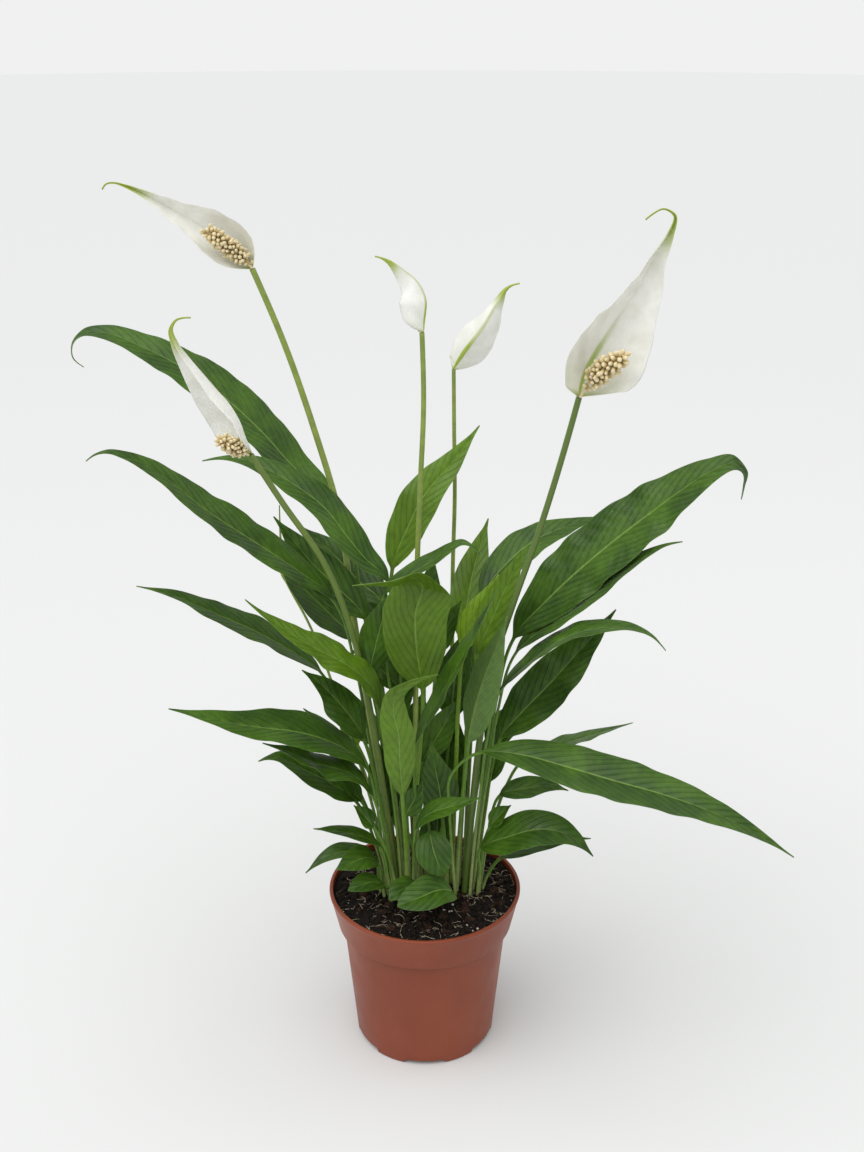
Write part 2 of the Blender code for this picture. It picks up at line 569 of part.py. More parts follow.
def make_pot():
    """The nursery pot, with its feet parted by notches and the drain holes in its floor."""
    plastic = material("terracotta_plastic", (0.30, 0.09, 0.05), 0.5)
    pot = add_object("pot", *turned(pot_profile(), POT_SIDES), plastic)
    inside = BASE_RADIUS - FOOT_WIDTH - 2 * BASE_ROUND
    for k in range(NOTCHES):
        turn = radians(-90) + 2 * pi * k / NOTCHES
        box = block((inside, -NOTCH_WIDTH / 2, -1), (BASE_RADIUS + 2, NOTCH_WIDTH / 2, NOTCH_HEIGHT), turn)
        cut(pot, f"notch_{k}", *box, plastic)
        points, faces = turned([(0, 1), (DRAIN_RADIUS, 1), (DRAIN_RADIUS, 9), (0, 9)], 12)
        shift = (DRAIN_CIRCLE * cos(turn), DRAIN_CIRCLE * sin(turn), 0)
        cut(pot, f"drain_{k}", [np.add(point, shift) for point in points], faces, plastic)


def make_soil():
    """The potting soil that fills the pot."""
    earth = material("potting_soil", (0.02, 0.012, 0.008), 0.95)
    add_object("soil", *turned(soil_profile(), POT_SIDES), earth)


def make_leaves():
    """The leaves, each one body with its petiole."""
    green = material("leaf_green", (0.05, 0.16, 0.03), 0.42)
    for leaf in LEAVES:
        add_object(leaf.name, *loft(leaf_rings(leaf)), green)


def make_flowers():
    """The open flowers and the bud."""
    stem_green = material("stem_green", (0.22, 0.35, 0.08), 0.45)
    white = material("spathe_white", (0.88, 0.9, 0.84), 0.5)
    cream = material("spadix_cream", (0.68, 0.52, 0.27), 0.7)
    for flower in FLOWERS:
        add_object(f"flower_stem_{flower.name}", *loft(stem_rings(flower)), stem_green)
        add_object(f"spathe_{flower.name}", *loft(spathe_rings(flower)), white)
        add_object(f"spadix_{flower.name}", *loft(spadix_rings(flower)), cream)
    add_object("bud", *loft(bud_rings()), stem_green)


def main():
    """Clears the scene and builds the plant in its pot."""
    for old in list(bpy.data.objects):
        bpy.data.objects.remove(old, do_unlink=True)
    make_pot()
    make_soil()
    make_leaves()
    make_flowers()


if __name__ == "__main__":
    main()
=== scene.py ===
"""Looks of a potted peace lily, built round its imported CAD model.

Every leaf, stem, spathe and spadix is lofted anew through the rings of its CAD node, so it stands where the
solid stands, with a smooth outline, thin margins, veins and waves. The pot and the soil are rebuilt to their
own sizes with finer rounds and loose grit. 23 small inner leaves that have no CAD node fill the heart of the
plant. The frame is the CAD's: metres, +Z up, the front towards -Y.
"""

from __future__ import annotations

import logging
import math
from dataclasses import dataclass, field
from enum import Enum
from functools import partial
from typing import Any, Callable, Iterable, Sequence

import bmesh
import bpy
import numpy as np
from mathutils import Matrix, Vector, noise


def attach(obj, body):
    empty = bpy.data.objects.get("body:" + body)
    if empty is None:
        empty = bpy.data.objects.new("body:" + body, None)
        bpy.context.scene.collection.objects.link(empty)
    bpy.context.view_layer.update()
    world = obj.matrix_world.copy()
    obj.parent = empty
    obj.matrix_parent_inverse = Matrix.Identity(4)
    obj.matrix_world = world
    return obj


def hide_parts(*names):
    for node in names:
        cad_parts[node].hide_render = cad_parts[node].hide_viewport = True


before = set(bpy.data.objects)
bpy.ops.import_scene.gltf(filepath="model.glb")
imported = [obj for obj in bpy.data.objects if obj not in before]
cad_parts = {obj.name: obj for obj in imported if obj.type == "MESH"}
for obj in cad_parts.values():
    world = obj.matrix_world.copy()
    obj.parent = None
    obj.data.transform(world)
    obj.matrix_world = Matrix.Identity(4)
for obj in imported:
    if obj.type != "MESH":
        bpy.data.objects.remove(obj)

logging.basicConfig(level=logging.INFO, format="%(name)s: %(message)s")
log = logging.getLogger("peace_lily")

MM: float = 0.001                   # one millimetre in metres
ROOT: str = "root"                  # the only body of the frame
SOIL_TOP_MM: float = 101.6          # level of the potting mix
GOLDEN_TURN: float = math.radians(137.508)
COLOUR: dict[str, str] = {"data_type": "RGBA"}
SMOOTH: dict[str, str] = {"interpolation_type": "SMOOTHSTEP"}
AddNode = Callable[..., bpy.types.NodeSocket]


# --------------------------------------------------------------------------------------------------
# Colours and nodes
# --------------------------------------------------------------------------------------------------
def linear(code: str) -> tuple[float, float, float, float]:
    """Turns an sRGB hex colour into linear light.

    Args:
        code: Six hex digits, with or without the hash.

    Returns:
        Red, green, blue and an alpha of 1.
    """
    digits = code.lstrip("#")
    values = [int(digits[i:i + 2], 16) / 255 for i in (0, 2, 4)]
    red, green, blue = (v / 12.92 if v <= 0.04045 else ((v + 0.055) / 1.055) ** 2.4 for v in values)
    return red, green, blue, 1.0


def fill(tree: bpy.types.NodeTree, node: bpy.types.Node, inputs: dict[Any, Any]) -> None:
    """Sets the sockets of a node, and links those that are fed by another node.

    Args:
        tree: The node tree.
        node: The node.
        inputs: Socket name or index to a value, or to the output socket that feeds it.
    """
    for key, value in inputs.items():
        if isinstance(value, bpy.types.NodeSocket):
            tree.links.new(value, node.inputs[key])
        else:
            node.inputs[key].default_value = value


def add_node(tree: bpy.types.NodeTree, kind: str, inputs: dict[Any, Any], output: int | str = 0,
             **settings: Any) -> bpy.types.NodeSocket:
    """Adds a shader node with its settings, and fills or links its sockets.

    Args:
        tree: The node tree.
        kind: The node's type without its ShaderNode prefix.
        inputs: Socket name or index to a value, or to the output socket that feeds it.
        output: Name or index of the output that is wanted.
        settings: Attributes to set on the node.

    Returns:
        The wanted output socket.
    """
    made = tree.nodes.new(f"ShaderNode{kind}")
    for key, value in settings.items():
        setattr(made, key, value)
    fill(tree, made, inputs)
    return made.outputs[output]


class Finish:
    """A finish that makes its material once and hands out the same one after that."""

    label: str = "finish"

    def sockets(self, add: AddNode) -> dict[str, Any]:
        """Adds the nodes of this finish.

        Args:
            add: Adds a node to the material.

        Returns:
            Values and outputs for the shader's sockets, by name.
        """
        raise NotImplementedError

    def material(self) -> bpy.types.Material:
        """Gives the material, made at the first call.

        Returns:
            The material of this finish.
        """
        found = bpy.data.materials.get(self.label)
        if found is not None:
            return found
        made = bpy.data.materials.new(self.label)
        made.use_nodes = True
        fill(made.node_tree, made.node_tree.nodes["Principled BSDF"],
             self.sockets(partial(add_node, made.node_tree)))
        return made


# --------------------------------------------------------------------------------------------------
# Finishes
# --------------------------------------------------------------------------------------------------
@dataclass(frozen=True)
class LivingLeaf(Finish):
    """A living leaf under its waxy cuticle.

    The cuticle gives a soft satin sheen that breaks over the quilting between the side veins. The upper side
    is a dark olive green with painted shade in the vein grooves and along the fine veins, and a painted
    highlight on the ridges between the grooves; the underside is greyer and duller, and the midrib
    and the petiole are yellow-green.
    """

    label: str = "living_leaf_waxy_cuticle"
    deep: str = "#29480b"
    fresh: str = "#456914"
    young: str = "#7ba01c"
    # painted shade, drawn into the vein grooves and along the fine veins
    groove: str = "#1d340b"
    # painted highlight, drawn on the ridges between the vein grooves
    ridge_highlight: str = "#56752c"
    under: str = "#5c7a3c"
    rib: str = "#7d9a48"
    petiole: str = "#5f8331"
    foot: str = "#9db06a"
    patch_mm: float = 24.0
    shade_mm: float = 3.5
    cell_mm: float = 1.1            # real cells are finer; drawn this coarse so that they show
    satin: float = 0.36

    def sockets(self, add: AddNode) -> dict[str, Any]:
        """Colours the blade by its own map and sets the sheen of the cuticle.

        Args:
            add: Adds a node to the material.

        Returns:
            Values and outputs for the shader's sockets, by name.
        """
        place = add("TexCoord", {}, "Object")
        across, along, vein, back, tone = (add("Attribute", {}, "Fac", attribute_name=name)
                                           for name in ("across", "along", "vein", "back", "tone"))
        side = add("Math", {0: across}, operation="ABSOLUTE")
        # Side veins and the finer ones between them, counted along the blade
        turn = add("Math", {0: vein, 1: math.pi}, operation="MULTIPLY")
        wave = add("Math", {0: add("Math", {0: turn}, operation="SINE")}, operation="ABSOLUTE")
        fine = add("Math", {0: add("Math", {0: turn, 1: 5.0}, operation="MULTIPLY")}, operation="SINE")
        # Painted shade in the vein grooves; the underside uses the same mask for its pale veins
        groove_shade_and_pale_vein = add("MapRange", {0: wave, 1: 0.0, 2: 0.34, 3: 0.26, 4: 0.0}, **SMOOTH)
        # Painted highlight on the ridges between the vein grooves
        ridge_highlight_share = add("MapRange", {0: wave, 1: 0.5, 2: 1.0, 3: 0.0, 4: 0.2}, **SMOOTH)
        # Painted shade along the fine veins
        fine_vein_shade = add("MapRange", {0: fine, 1: 0.35, 2: 1.0, 3: 0.0, 4: 0.1}, **SMOOTH)
        # Upper side: dark olive, with painted shade in the vein grooves and along the fine veins, and a
        # painted highlight on the ridges between them
        blotch = add("TexNoise", {"Vector": place, "Scale": 1 / (self.patch_mm * MM), "Detail": 2.0})
        blotch = add("MapRange", {0: blotch, 1: 0.3, 2: 0.7}, **SMOOTH)
        top = linear(self.deep)
        for share, colour in ((blotch, self.fresh), (ridge_highlight_share, self.ridge_highlight), (tone, self.young),
                              (groove_shade_and_pale_vein, self.groove), (fine_vein_shade, self.groove)):
            top = add("Mix", {0: share, 6: top, 7: linear(colour)}, 2, **COLOUR)
        # Underside, where the veins stand out pale
        youth = add("Math", {0: tone, 1: 0.6}, operation="MULTIPLY")
        low = add("Mix", {0: youth, 6: linear(self.under), 7: linear(self.young)}, 2, **COLOUR)
        low = add("Mix", {0: groove_shade_and_pale_vein, 6: low, 7: linear(self.rib)}, 2, **COLOUR)
        blade = add("Mix", {0: back, 6: top, 7: low}, 2, **COLOUR)
        # Midrib and the pale, translucent margin
        middle = add("MapRange", {0: side, 1: 0.012, 2: 0.055, 3: 1.0, 4: 0.0}, **SMOOTH)
        fade = add("MapRange", {0: along, 1: 0.35, 2: 1.0, 3: 0.7, 4: 0.1}, **SMOOTH)
        middle = add("Math", {0: middle, 1: fade}, operation="MULTIPLY")
        edge = add("MapRange", {0: side, 1: 0.97, 2: 0.998, 3: 0.0, 4: 0.35}, **SMOOTH)
        for share in (middle, edge):
            blade = add("Mix", {0: share, 6: blade, 7: linear(self.rib)}, 2, **COLOUR)
        # Petiole, pale at the soil
        height = add("MapRange", {0: along, 1: -0.2, 2: -0.07}, **SMOOTH)
        stalk = add("Mix", {0: height, 6: linear(self.foot), 7: linear(self.petiole)}, 2, **COLOUR)
        stalk = add("Mix", {0: youth, 6: stalk, 7: linear(self.young)}, 2, **COLOUR)
        begun = add("MapRange", {0: along, 1: -0.015, 2: 0.03}, **SMOOTH)
        whole = add("Mix", {0: begun, 6: stalk, 7: blade}, 2, **COLOUR)
        mottle = add("TexNoise", {"Vector": place, "Scale": 1 / (self.shade_mm * MM), "Detail": 4.0})
        mottle = add("MapRange", {0: mottle, 1: 0.25, 2: 0.75, 3: 0.86, 4: 1.1}, **SMOOTH)
        whole = add("VectorMath", {0: whole, "Scale": mottle}, operation="SCALE")
        # The cuticle, duller where it is handled and on the underside
        worn = add("TexNoise", {"Vector": place, "Scale": 1 / (self.patch_mm * 0.5 * MM), "Detail": 3.0})
        worn = add("MapRange", {0: worn, 1: 0.3, 2: 0.7, 3: self.satin - 0.05, 4: self.satin + 0.09},
                   **SMOOTH)
        dull = add("Math", {0: back, 1: 0.2, 2: worn}, operation="MULTIPLY_ADD")
        # The pillows between the veins, and the skin's cells
        pillow = add("MapRange", {0: wave, 1: 0.0, 2: 0.5}, **SMOOTH)
        pillow = add("Math", {0: fine, 1: -0.1, 2: pillow}, operation="MULTIPLY_ADD")
        cells = add("TexNoise", {"Vector": place, "Scale": 1 / (self.cell_mm * MM), "Detail": 2.0})
        cells = add("Math", {0: cells, 1: 0.3, 2: pillow}, operation="MULTIPLY_ADD")
        bump = add("Bump", {"Strength": 0.5, "Distance": 0.3 * MM, "Height": cells})
        return {
            "Base Color": whole, "Roughness": dull, "IOR": 1.45, "Specular IOR Level": 0.36, "Normal": bump,
            "Subsurface Weight": 0.05, "Subsurface Radius": (0.5, 1.0, 0.15), "Subsurface Scale": 0.0012}


@dataclass(frozen=True)
class FleshyStem(Finish):
    """A smooth, fleshy flower stem under a thin wax, with faint lengthwise lines and a paler foot."""

    label: str = "fleshy_stem_waxed"
    low: str = "#9fb258"
    high: str = "#8da047"
    dark: str = "#587030"
    mottle_mm: float = 7.0
    ribs: float = 9.0               # lengthwise ribs on each half of the stem
    rib_depth_mm: float = 0.15

    def sockets(self, add: AddNode) -> dict[str, Any]:
        """Colours the stem along its length and draws its lengthwise lines.

        Args:
            add: Adds a node to the material.

        Returns:
            Values and outputs for the shader's sockets, by name.
        """
        place = add("TexCoord", {}, "Object")
        along, around, tone = (add("Attribute", {}, "Fac", attribute_name=name)
                               for name in ("along", "across", "tone"))
        height = add("MapRange", {0: along, 1: 0.1, 2: 0.8}, **SMOOTH)
        mottle = add("TexNoise", {"Vector": place, "Scale": 1 / (self.mottle_mm * MM), "Detail": 3.0})
        mottle = add("MapRange", {0: mottle, 1: 0.35, 2: 0.65, 3: 0.0, 4: 0.35}, **SMOOTH)
        turn = add("Math", {0: around, 1: math.pi * self.ribs}, operation="MULTIPLY")
        ribs = add("Math", {0: add("Math", {0: turn}, operation="SINE")}, operation="ABSOLUTE")
        lines = add("MapRange", {0: ribs, 1: 0.0, 2: 0.5, 3: 0.25, 4: 0.0}, **SMOOTH)
        body = add("Mix", {0: height, 6: linear(self.low), 7: linear(self.high)}, 2, **COLOUR)
        # tone darkens a whole stem; on flower stem 2 this darkening is painted shade
        for share in (tone, mottle, lines):
            body = add("Mix", {0: share, 6: body, 7: linear(self.dark)}, 2, **COLOUR)
        bump = add("Bump", {"Strength": 0.4, "Distance": self.rib_depth_mm * MM, "Height": ribs})
        return {"Base Color": body, "Roughness": 0.4, "IOR": 1.45, "Normal": bump}


@dataclass(frozen=True)
class ThinSpathe(Finish):
    """A thin white spathe with a matt, faintly waxy skin.

    The tissue is thin enough to glow where light comes through, its veins run from foot to tip, and green
    stays in its tip and along the rib on its back.
    """

    label: str = "thin_white_spathe"
    white: str = "#f4f4ee"
    shade: str = "#e3e3da"
    blush: str = "#e3e6cb"
    green: str = "#9db04a"
    vein_lines: float = 11.0        # veins in each half
    cloud_mm: float = 10.0
    cell_mm: float = 1.2            # real cells are finer; drawn this coarse so that they show

    def sockets(self, add: AddNode) -> dict[str, Any]:
        """Draws the veins, the green tip and the green rib.

        Args:
            add: Adds a node to the material.

        Returns:
            Values and outputs for the shader's sockets, by name.
        """
        place = add("TexCoord", {}, "Object")
        across, along, back = (add("Attribute", {}, "Fac", attribute_name=name)
                               for name in ("across", "along", "back"))
        side = add("Math", {0: across}, operation="ABSOLUTE")
        turn = add("Math", {0: side, 1: math.pi * self.vein_lines}, operation="MULTIPLY")
        veins = add("Math", {0: add("Math", {0: turn}, operation="SINE")}, operation="ABSOLUTE")
        cloud = add("TexNoise", {"Vector": place, "Scale": 1 / (self.cloud_mm * MM), "Detail": 3.0})
        cloud = add("MapRange", {0: cloud, 1: 0.3, 2: 0.7}, **SMOOTH)
        lines = add("MapRange", {0: veins, 1: 0.0, 2: 0.45, 3: 0.3, 4: 0.0}, **SMOOTH)
        foot = add("MapRange", {0: along, 1: 0.0, 2: 0.22, 3: 0.6, 4: 0.0}, **SMOOTH)
        # Green: the rib, strongest on the back, then the tip and the very foot
        length = add("MapRange", {0: along, 1: 0.14, 2: 0.42, 3: 0.9, 4: 0.05}, **SMOOTH)
        weight = add("Math", {0: back, 1: 0.5, 2: length}, operation="MULTIPLY_ADD")
        rib = add("MapRange", {0: side, 1: 0.03, 2: 0.1, 3: 1.0, 4: 0.0}, **SMOOTH)
        rib = add("Math", {0: rib, 1: weight}, operation="MULTIPLY")
        tip = add("MapRange", {0: along, 1: 0.64, 2: 0.84}, **SMOOTH)
        start = add("MapRange", {0: along, 1: 0.0, 2: 0.05, 3: 0.8, 4: 0.0}, **SMOOTH)
        ends = add("Math", {0: tip, 1: start}, operation="MAXIMUM")
        rib = add("Math", {0: rib, 1: ends}, operation="MAXIMUM", use_clamp=True)
        body = linear(self.white)
        for share, colour in ((cloud, self.shade), (lines, self.blush), (foot, self.blush),
                              (rib, self.green)):
            body = add("Mix", {0: share, 6: body, 7: linear(colour)}, 2, **COLOUR)
        cells = add("TexNoise", {"Vector": place, "Scale": 1 / (self.cell_mm * MM), "Detail": 2.0})
        cells = add("Math", {0: cells, 1: 0.35, 2: veins}, operation="MULTIPLY_ADD")
        bump = add("Bump", {"Strength": 0.3, "Distance": 0.25 * MM, "Height": cells})
        return {
            "Base Color": body, "Roughness": 0.55, "IOR": 1.42, "Specular IOR Level": 0.35, "Normal": bump,
            "Subsurface Weight": 0.3, "Subsurface Radius": (1.0, 1.0, 0.8), "Subsurface Scale": 0.003}


@dataclass(frozen=True)
class SpadixFlower(Finish):
    """The tiny flowers of the spadix: matt, cream at their tips and olive-tan down between them."""

    label: str = "spadix_packed_flowers"
    tip: str = "#e9dcb8"
    middle: str = "#d6c28e"
    deep: str = "#b7a272"
    mottle_mm: float = 1.6

    def sockets(self, add: AddNode) -> dict[str, Any]:
        """Colours each flower from its foot to its tip.

        Args:
            add: Adds a node to the material.

        Returns:
            Values and outputs for the shader's sockets, by name.
        """
        place = add("TexCoord", {}, "Object")
        height = add("Attribute", {}, "Fac", attribute_name="height")
        lower = add("MapRange", {0: height, 1: 0.1, 2: 0.6}, **SMOOTH)
        upper = add("MapRange", {0: height, 1: 0.5, 2: 0.98}, **SMOOTH)
        mottle = add("TexNoise", {"Vector": place, "Scale": 1 / (self.mottle_mm * MM), "Detail": 3.0})
        spots = add("MapRange", {0: mottle, 1: 0.35, 2: 0.7, 3: 0.0, 4: 0.55}, **SMOOTH)
        body = linear(self.deep)
        for share, colour in ((lower, self.middle), (upper, self.tip), (spots, self.middle)):
            body = add("Mix", {0: share, 6: body, 7: linear(colour)}, 2, **COLOUR)
        bump = add("Bump", {"Strength": 0.5, "Distance": 0.2 * MM, "Height": mottle})
        return {
            "Base Color": body, "Roughness": 0.68, "Normal": bump, "Subsurface Weight": 0.15,
            "Subsurface Radius": (1.0, 0.7, 0.4), "Subsurface Scale": 0.001}


@dataclass(frozen=True)
class MouldedPolypropylene(Finish):
    """Thin injection-moulded polypropylene, coloured through in a brown terracotta.

    The mould's fine spark finish leaves a satin skin with soft, wide highlights, and handling leaves faint
    duller patches.
    """

    label: str = "moulded_polypropylene_terracotta"
    body: str = "#7f3a22"
    warm: str = "#8b4227"
    dust: str = "#9a5f48"
    drift_mm: float = 60.0
    film_mm: float = 9.0
    handled_mm: float = 22.0
    spark_mm: float = 0.9           # the real spark finish is about 0.1 mm; drawn coarser so that it shows

    def sockets(self, add: AddNode) -> dict[str, Any]:
        """Sets the plastic's colour, its faint patches and its moulded skin.

        Args:
            add: Adds a node to the material.

        Returns:
            Values and outputs for the shader's sockets, by name.
        """
        place = add("TexCoord", {}, "Object")
        drift = add("TexNoise", {"Vector": place, "Scale": 1 / (self.drift_mm * MM), "Detail": 2.0})
        drift = add("MapRange", {0: drift, 1: 0.3, 2: 0.7}, **SMOOTH)
        body = add("Mix", {0: drift, 6: linear(self.body), 7: linear(self.warm)}, 2, **COLOUR)
        film = add("TexNoise", {"Vector": place, "Scale": 1 / (self.film_mm * MM), "Detail": 6.0,
                                "Roughness": 0.7})
        film = add("MapRange", {0: film, 1: 0.5, 2: 0.8, 3: 0.0, 4: 0.16}, **SMOOTH)
        body = add("Mix", {0: film, 6: body, 7: linear(self.dust)}, 2, **COLOUR)
        dull = add("TexNoise", {"Vector": place, "Scale": 1 / (self.handled_mm * MM), "Detail": 4.0})
        dull = add("MapRange", {0: dull, 1: 0.3, 2: 0.7, 3: 0.36, 4: 0.48}, **SMOOTH)
        spark = add("TexNoise", {"Vector": place, "Scale": 1 / (self.spark_mm * MM), "Detail": 2.0})
        bump = add("Bump", {"Strength": 0.35, "Distance": 0.05 * MM, "Height": spark})
        return {"Base Color": body, "Roughness": dull, "IOR": 1.49, "Specular IOR Level": 0.38,
                "Normal": bump}


@dataclass(frozen=True)
class LooseMatter(Finish):
    """Peat, bark, coir or expanded perlite: matt and mottled between two colours, rough to the touch."""

    label: str = "potting_peat_damp"
    low: str = "#0b0806"
    high: str = "#241a13"
    grain_mm: float = 2.2
    depth_mm: float = 0.8
    roughness: float = 0.92

    def sockets(self, add: AddNode) -> dict[str, Any]:
        """Mottles the stuff between its two colours and roughens it.

        Args:
            add: Adds a node to the material.

        Returns:
            Values and outputs for the shader's sockets, by name.
        """
        place = add("TexCoord", {}, "Object")
        mottle = add("TexNoise", {"Vector": place, "Scale": 1 / (self.grain_mm * MM), "Detail": 5.0,
                                  "Roughness": 0.68})
        spots = add("MapRange", {0: mottle, 1: 0.4, 2: 0.7}, **SMOOTH)
        body = add("Mix", {0: spots, 6: linear(self.low), 7: linear(self.high)}, 2, **COLOUR)
        bump = add("Bump", {"Strength": 0.8, "Distance": self.depth_mm * MM, "Height": mottle})
        return {"Base Color": body, "Roughness": self.roughness, "Specular IOR Level": 0.25,
                "Normal": bump}


@dataclass(frozen=True)
class StudioPaper(Finish):
    """Seamless matt paper, pale grey, with no sheen of its own."""

    label: str = "studio_paper"
    grey: str = "#dddedd"

    def sockets(self, add: AddNode) -> dict[str, Any]:
        """Sets the paper's even grey.

        Args:
            add: Adds a node to the material.

        Returns:
            Values and outputs for the shader's sockets, by name.
        """
        return {"Base Color": linear(self.grey), "Roughness": 1.0, "Specular IOR Level": 0.0}


# --------------------------------------------------------------------------------------------------
# Curves and rings
# --------------------------------------------------------------------------------------------------
def spline(knots: np.ndarray, values: np.ndarray, at: np.ndarray, keep_shape: bool = False) -> np.ndarray:
    """Reads a smooth curve through values.

    Args:
        knots: Where the values stand, rising.
        values: One row for each knot.
        at: Where to read.
        keep_shape: Never rises above or sinks below its neighbours, for widths.

    Returns:
        One row for each place read.
    """
    knots = np.asarray(knots, float)
    values = np.asarray(values, float).reshape(len(knots), -1)
    step = np.diff(knots)[:, None]
    rise = np.diff(values, axis=0) / step
    slope = np.zeros_like(values)
    if len(knots) > 2:
        before, after = step[:-1], step[1:]
        if keep_shape:
            same = rise[:-1] * rise[1:] > 0
            first = np.where(same, rise[:-1], 1.0)
            second = np.where(same, rise[1:], 1.0)
            near, far = 2 * after + before, after + 2 * before
            slope[1:-1] = np.where(same, (near + far) / (near / first + far / second), 0.0)
        else:
            slope[1:-1] = (rise[:-1] * after + rise[1:] * before) / (before + after)
    slope[0] = rise[0] if keep_shape or len(knots) < 3 else 1.5 * rise[0] - 0.5 * slope[1]
    slope[-1] = rise[-1] if keep_shape or len(knots) < 3 else 1.5 * rise[-1] - 0.5 * slope[-2]
    low = np.clip(np.searchsorted(knots, at, side="right") - 1, 0, len(knots) - 2)
    width = step[low]
    t = ((at - knots[low])[:, None]) / width
    return ((2 * t**3 - 3 * t**2 + 1) * values[low] + (t**3 - 2 * t**2 + t) * width * slope[low]
            + (3 * t**2 - 2 * t**3) * values[low + 1] + (t**3 - t**2) * width * slope[low + 1])


def unit(vectors: np.ndarray) -> np.ndarray:
    """Vectors at length 1."""
    length = np.linalg.norm(vectors, axis=-1, keepdims=True)
    return vectors / np.maximum(length, 1e-12)


def circle(count: int) -> np.ndarray:
    """Even steps once round, in radians."""
    return 2 * math.pi * np.arange(count) / count


def hoops(line: np.ndarray, radius: np.ndarray, hint: Sequence[float], count: int) -> tuple[np.ndarray, ...]:
    """Round rings along a line.

    Args:
        line: Points along it.
        radius: One column for each point of a ring, or one for all.
        hint: A direction that no part of the line runs along.
        count: Points in each ring.

    Returns:
        The rings, and the directions forward, sideways and up at each point of the line.
    """
    forward = unit(np.gradient(line, axis=0))
    side = unit(np.cross(forward, np.array(hint)))
    lift = np.cross(side, forward)
    turn = circle(count)[:, None]
    rings = line[:, None] + radius[..., None] * (side[:, None] * np.cos(turn) + lift[:, None] * np.sin(turn))
    return rings, forward, side, lift


class Rings:
    """The sections that a lofted CAD node is made of, read back from its mesh."""

    def __init__(self, node: str, count: int, start: np.ndarray | None = None) -> None:
        """Reads the rings in order, each with its points in step with the ring before.

        Args:
            node: The CAD node.
            count: Points in each ring.
            start: A point by the first ring, or None where the first ring is the lowest.
        """
        self.node, self.count = node, count
        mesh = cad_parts[node].data
        corners = np.array([v.co for v in mesh.vertices], float)
        keys, back = np.unique(np.round(corners, 6), axis=0, return_inverse=True)
        back = back.reshape(-1)
        self.points = keys
        faces = [[int(back[i]) for i in face.vertices] for face in mesh.polygons]
        self.near: list[set[int]] = [set() for _ in self.points]
        for face in faces:
            for a, b in zip(face, face[1:] + face[:1]):
                self.near[a].add(b)
                self.near[b].add(a)
        self.rings = self._ordered(faces, self._levels(start))

    def _levels(self, start: np.ndarray | None) -> np.ndarray:
        """Numbers each point with its ring, counted from the first one.

        Args:
            start: A point by the first ring, or None where the first ring is the lowest.

        Returns:
            The ring of each point.
        """
        order = self.points[:, 2] if start is None else np.linalg.norm(self.points - start, axis=1)
        level = np.full(len(self.points), -1)
        now = [int(i) for i in np.argsort(order)[:self.count]]
        number = 0
        while now:
            level[now] = number
            now = sorted({b for a in now for b in self.near[a] if level[b] < 0})
            number += 1
        return level

    def _ordered(self, faces: list[list[int]], level: np.ndarray) -> np.ndarray:
        """Puts the points of each ring in order round it.

        Args:
            faces: The faces by point numbers.
            level: The ring of each point.

        Returns:
            Rings by points by coordinates.
        """
        rim: list[dict[int, set[int]]] = [{} for _ in range(level.max() + 1)]
        for face in faces:
            if len({int(level[i]) for i in face}) > 1:
                for a, b in zip(face, face[1:] + face[:1]):
                    if level[a] == level[b]:
                        rim[level[a]].setdefault(a, set()).add(b)
                        rim[level[a]].setdefault(b, set()).add(a)
        rings: list[list[int]] = []
        for pairs in rim:
            turn = [min(pairs)]
            while len(turn) < self.count:
                turn.append(min(b for b in pairs[turn[-1]] if b not in turn))
            rings.append(turn if not rings else self._in_step(rings[-1], turn))
        return self.points[np.array(rings)]

    def _in_step(self, before: list[int], turn: list[int]) -> list[int]:
        """Turns a ring so that its points follow those of the ring before.

        Args:
            before: The ring before, in order.
            turn: This ring, in order from any point and either way round.

        Returns:
            This ring in step with the one before.
        """
        old = self.points[before] - self.points[before].mean(0)
        best, found = math.inf, turn
        for way in (turn, turn[::-1]):
            for shift in range(self.count):
                trial = way[shift:] + way[:shift]
                joined = sum(b in self.near[a] for a, b in zip(before, trial))
                new = self.points[trial] - self.points[trial].mean(0)
                cost = float(((new - old) ** 2).sum()) + (self.count - joined) * 1.0
                if cost < best:
                    best, found = cost, trial
        return found

    @property
    def centres(self) -> np.ndarray:
        """The middle of each ring."""
        return self.rings.mean(1)

    @property
    def radii(self) -> np.ndarray:
        """How far the points of each ring lie from its middle."""
        return np.linalg.norm(self.rings - self.centres[:, None], axis=2).mean(1)

    def from_left(self) -> np.ndarray:
        """Turns every ring to start at its left margin and run over the upper side first.

        Returns:
            Rings by points by coordinates.
        """
        half, quarter = self.count // 2, self.count // 4
        spread = np.linalg.norm(self.rings - np.roll(self.rings, -half, axis=1), axis=2)
        wide = int(spread.max(1).argmax())
        first = int(spread[wide].argmax()) % half
        rings = np.roll(self.rings, -first, axis=1)
        section = rings[wide]
        middle = (section[quarter] + section[quarter + half]) / 2
        up = unit((section[0] + section[half]) / 2 - middle)
        if (section[quarter] - middle) @ up < 0:
            rings = np.roll(rings[:, ::-1], 1, axis=1)
        along = self.centres[min(wide + 1, len(rings) - 1)] - self.centres[wide - 1]
        side = np.cross(along, up)
        if (rings[wide][half] - rings[wide][0]) @ side < 0:
            rings = np.concatenate([rings[:, half::-1], rings[:, :half:-1]], axis=1)
        return rings


# --------------------------------------------------------------------------------------------------
# Meshes
# --------------------------------------------------------------------------------------------------
def put(name: str, data: bpy.types.ID) -> bpy.types.Object:
    """Puts an object into the scene.

    Args:
        name: The object's name.
        data: Its mesh, light or camera.

    Returns:
        The new object.
    """
    made = bpy.data.objects.new(name, data)
    bpy.context.scene.collection.objects.link(made)
    return made


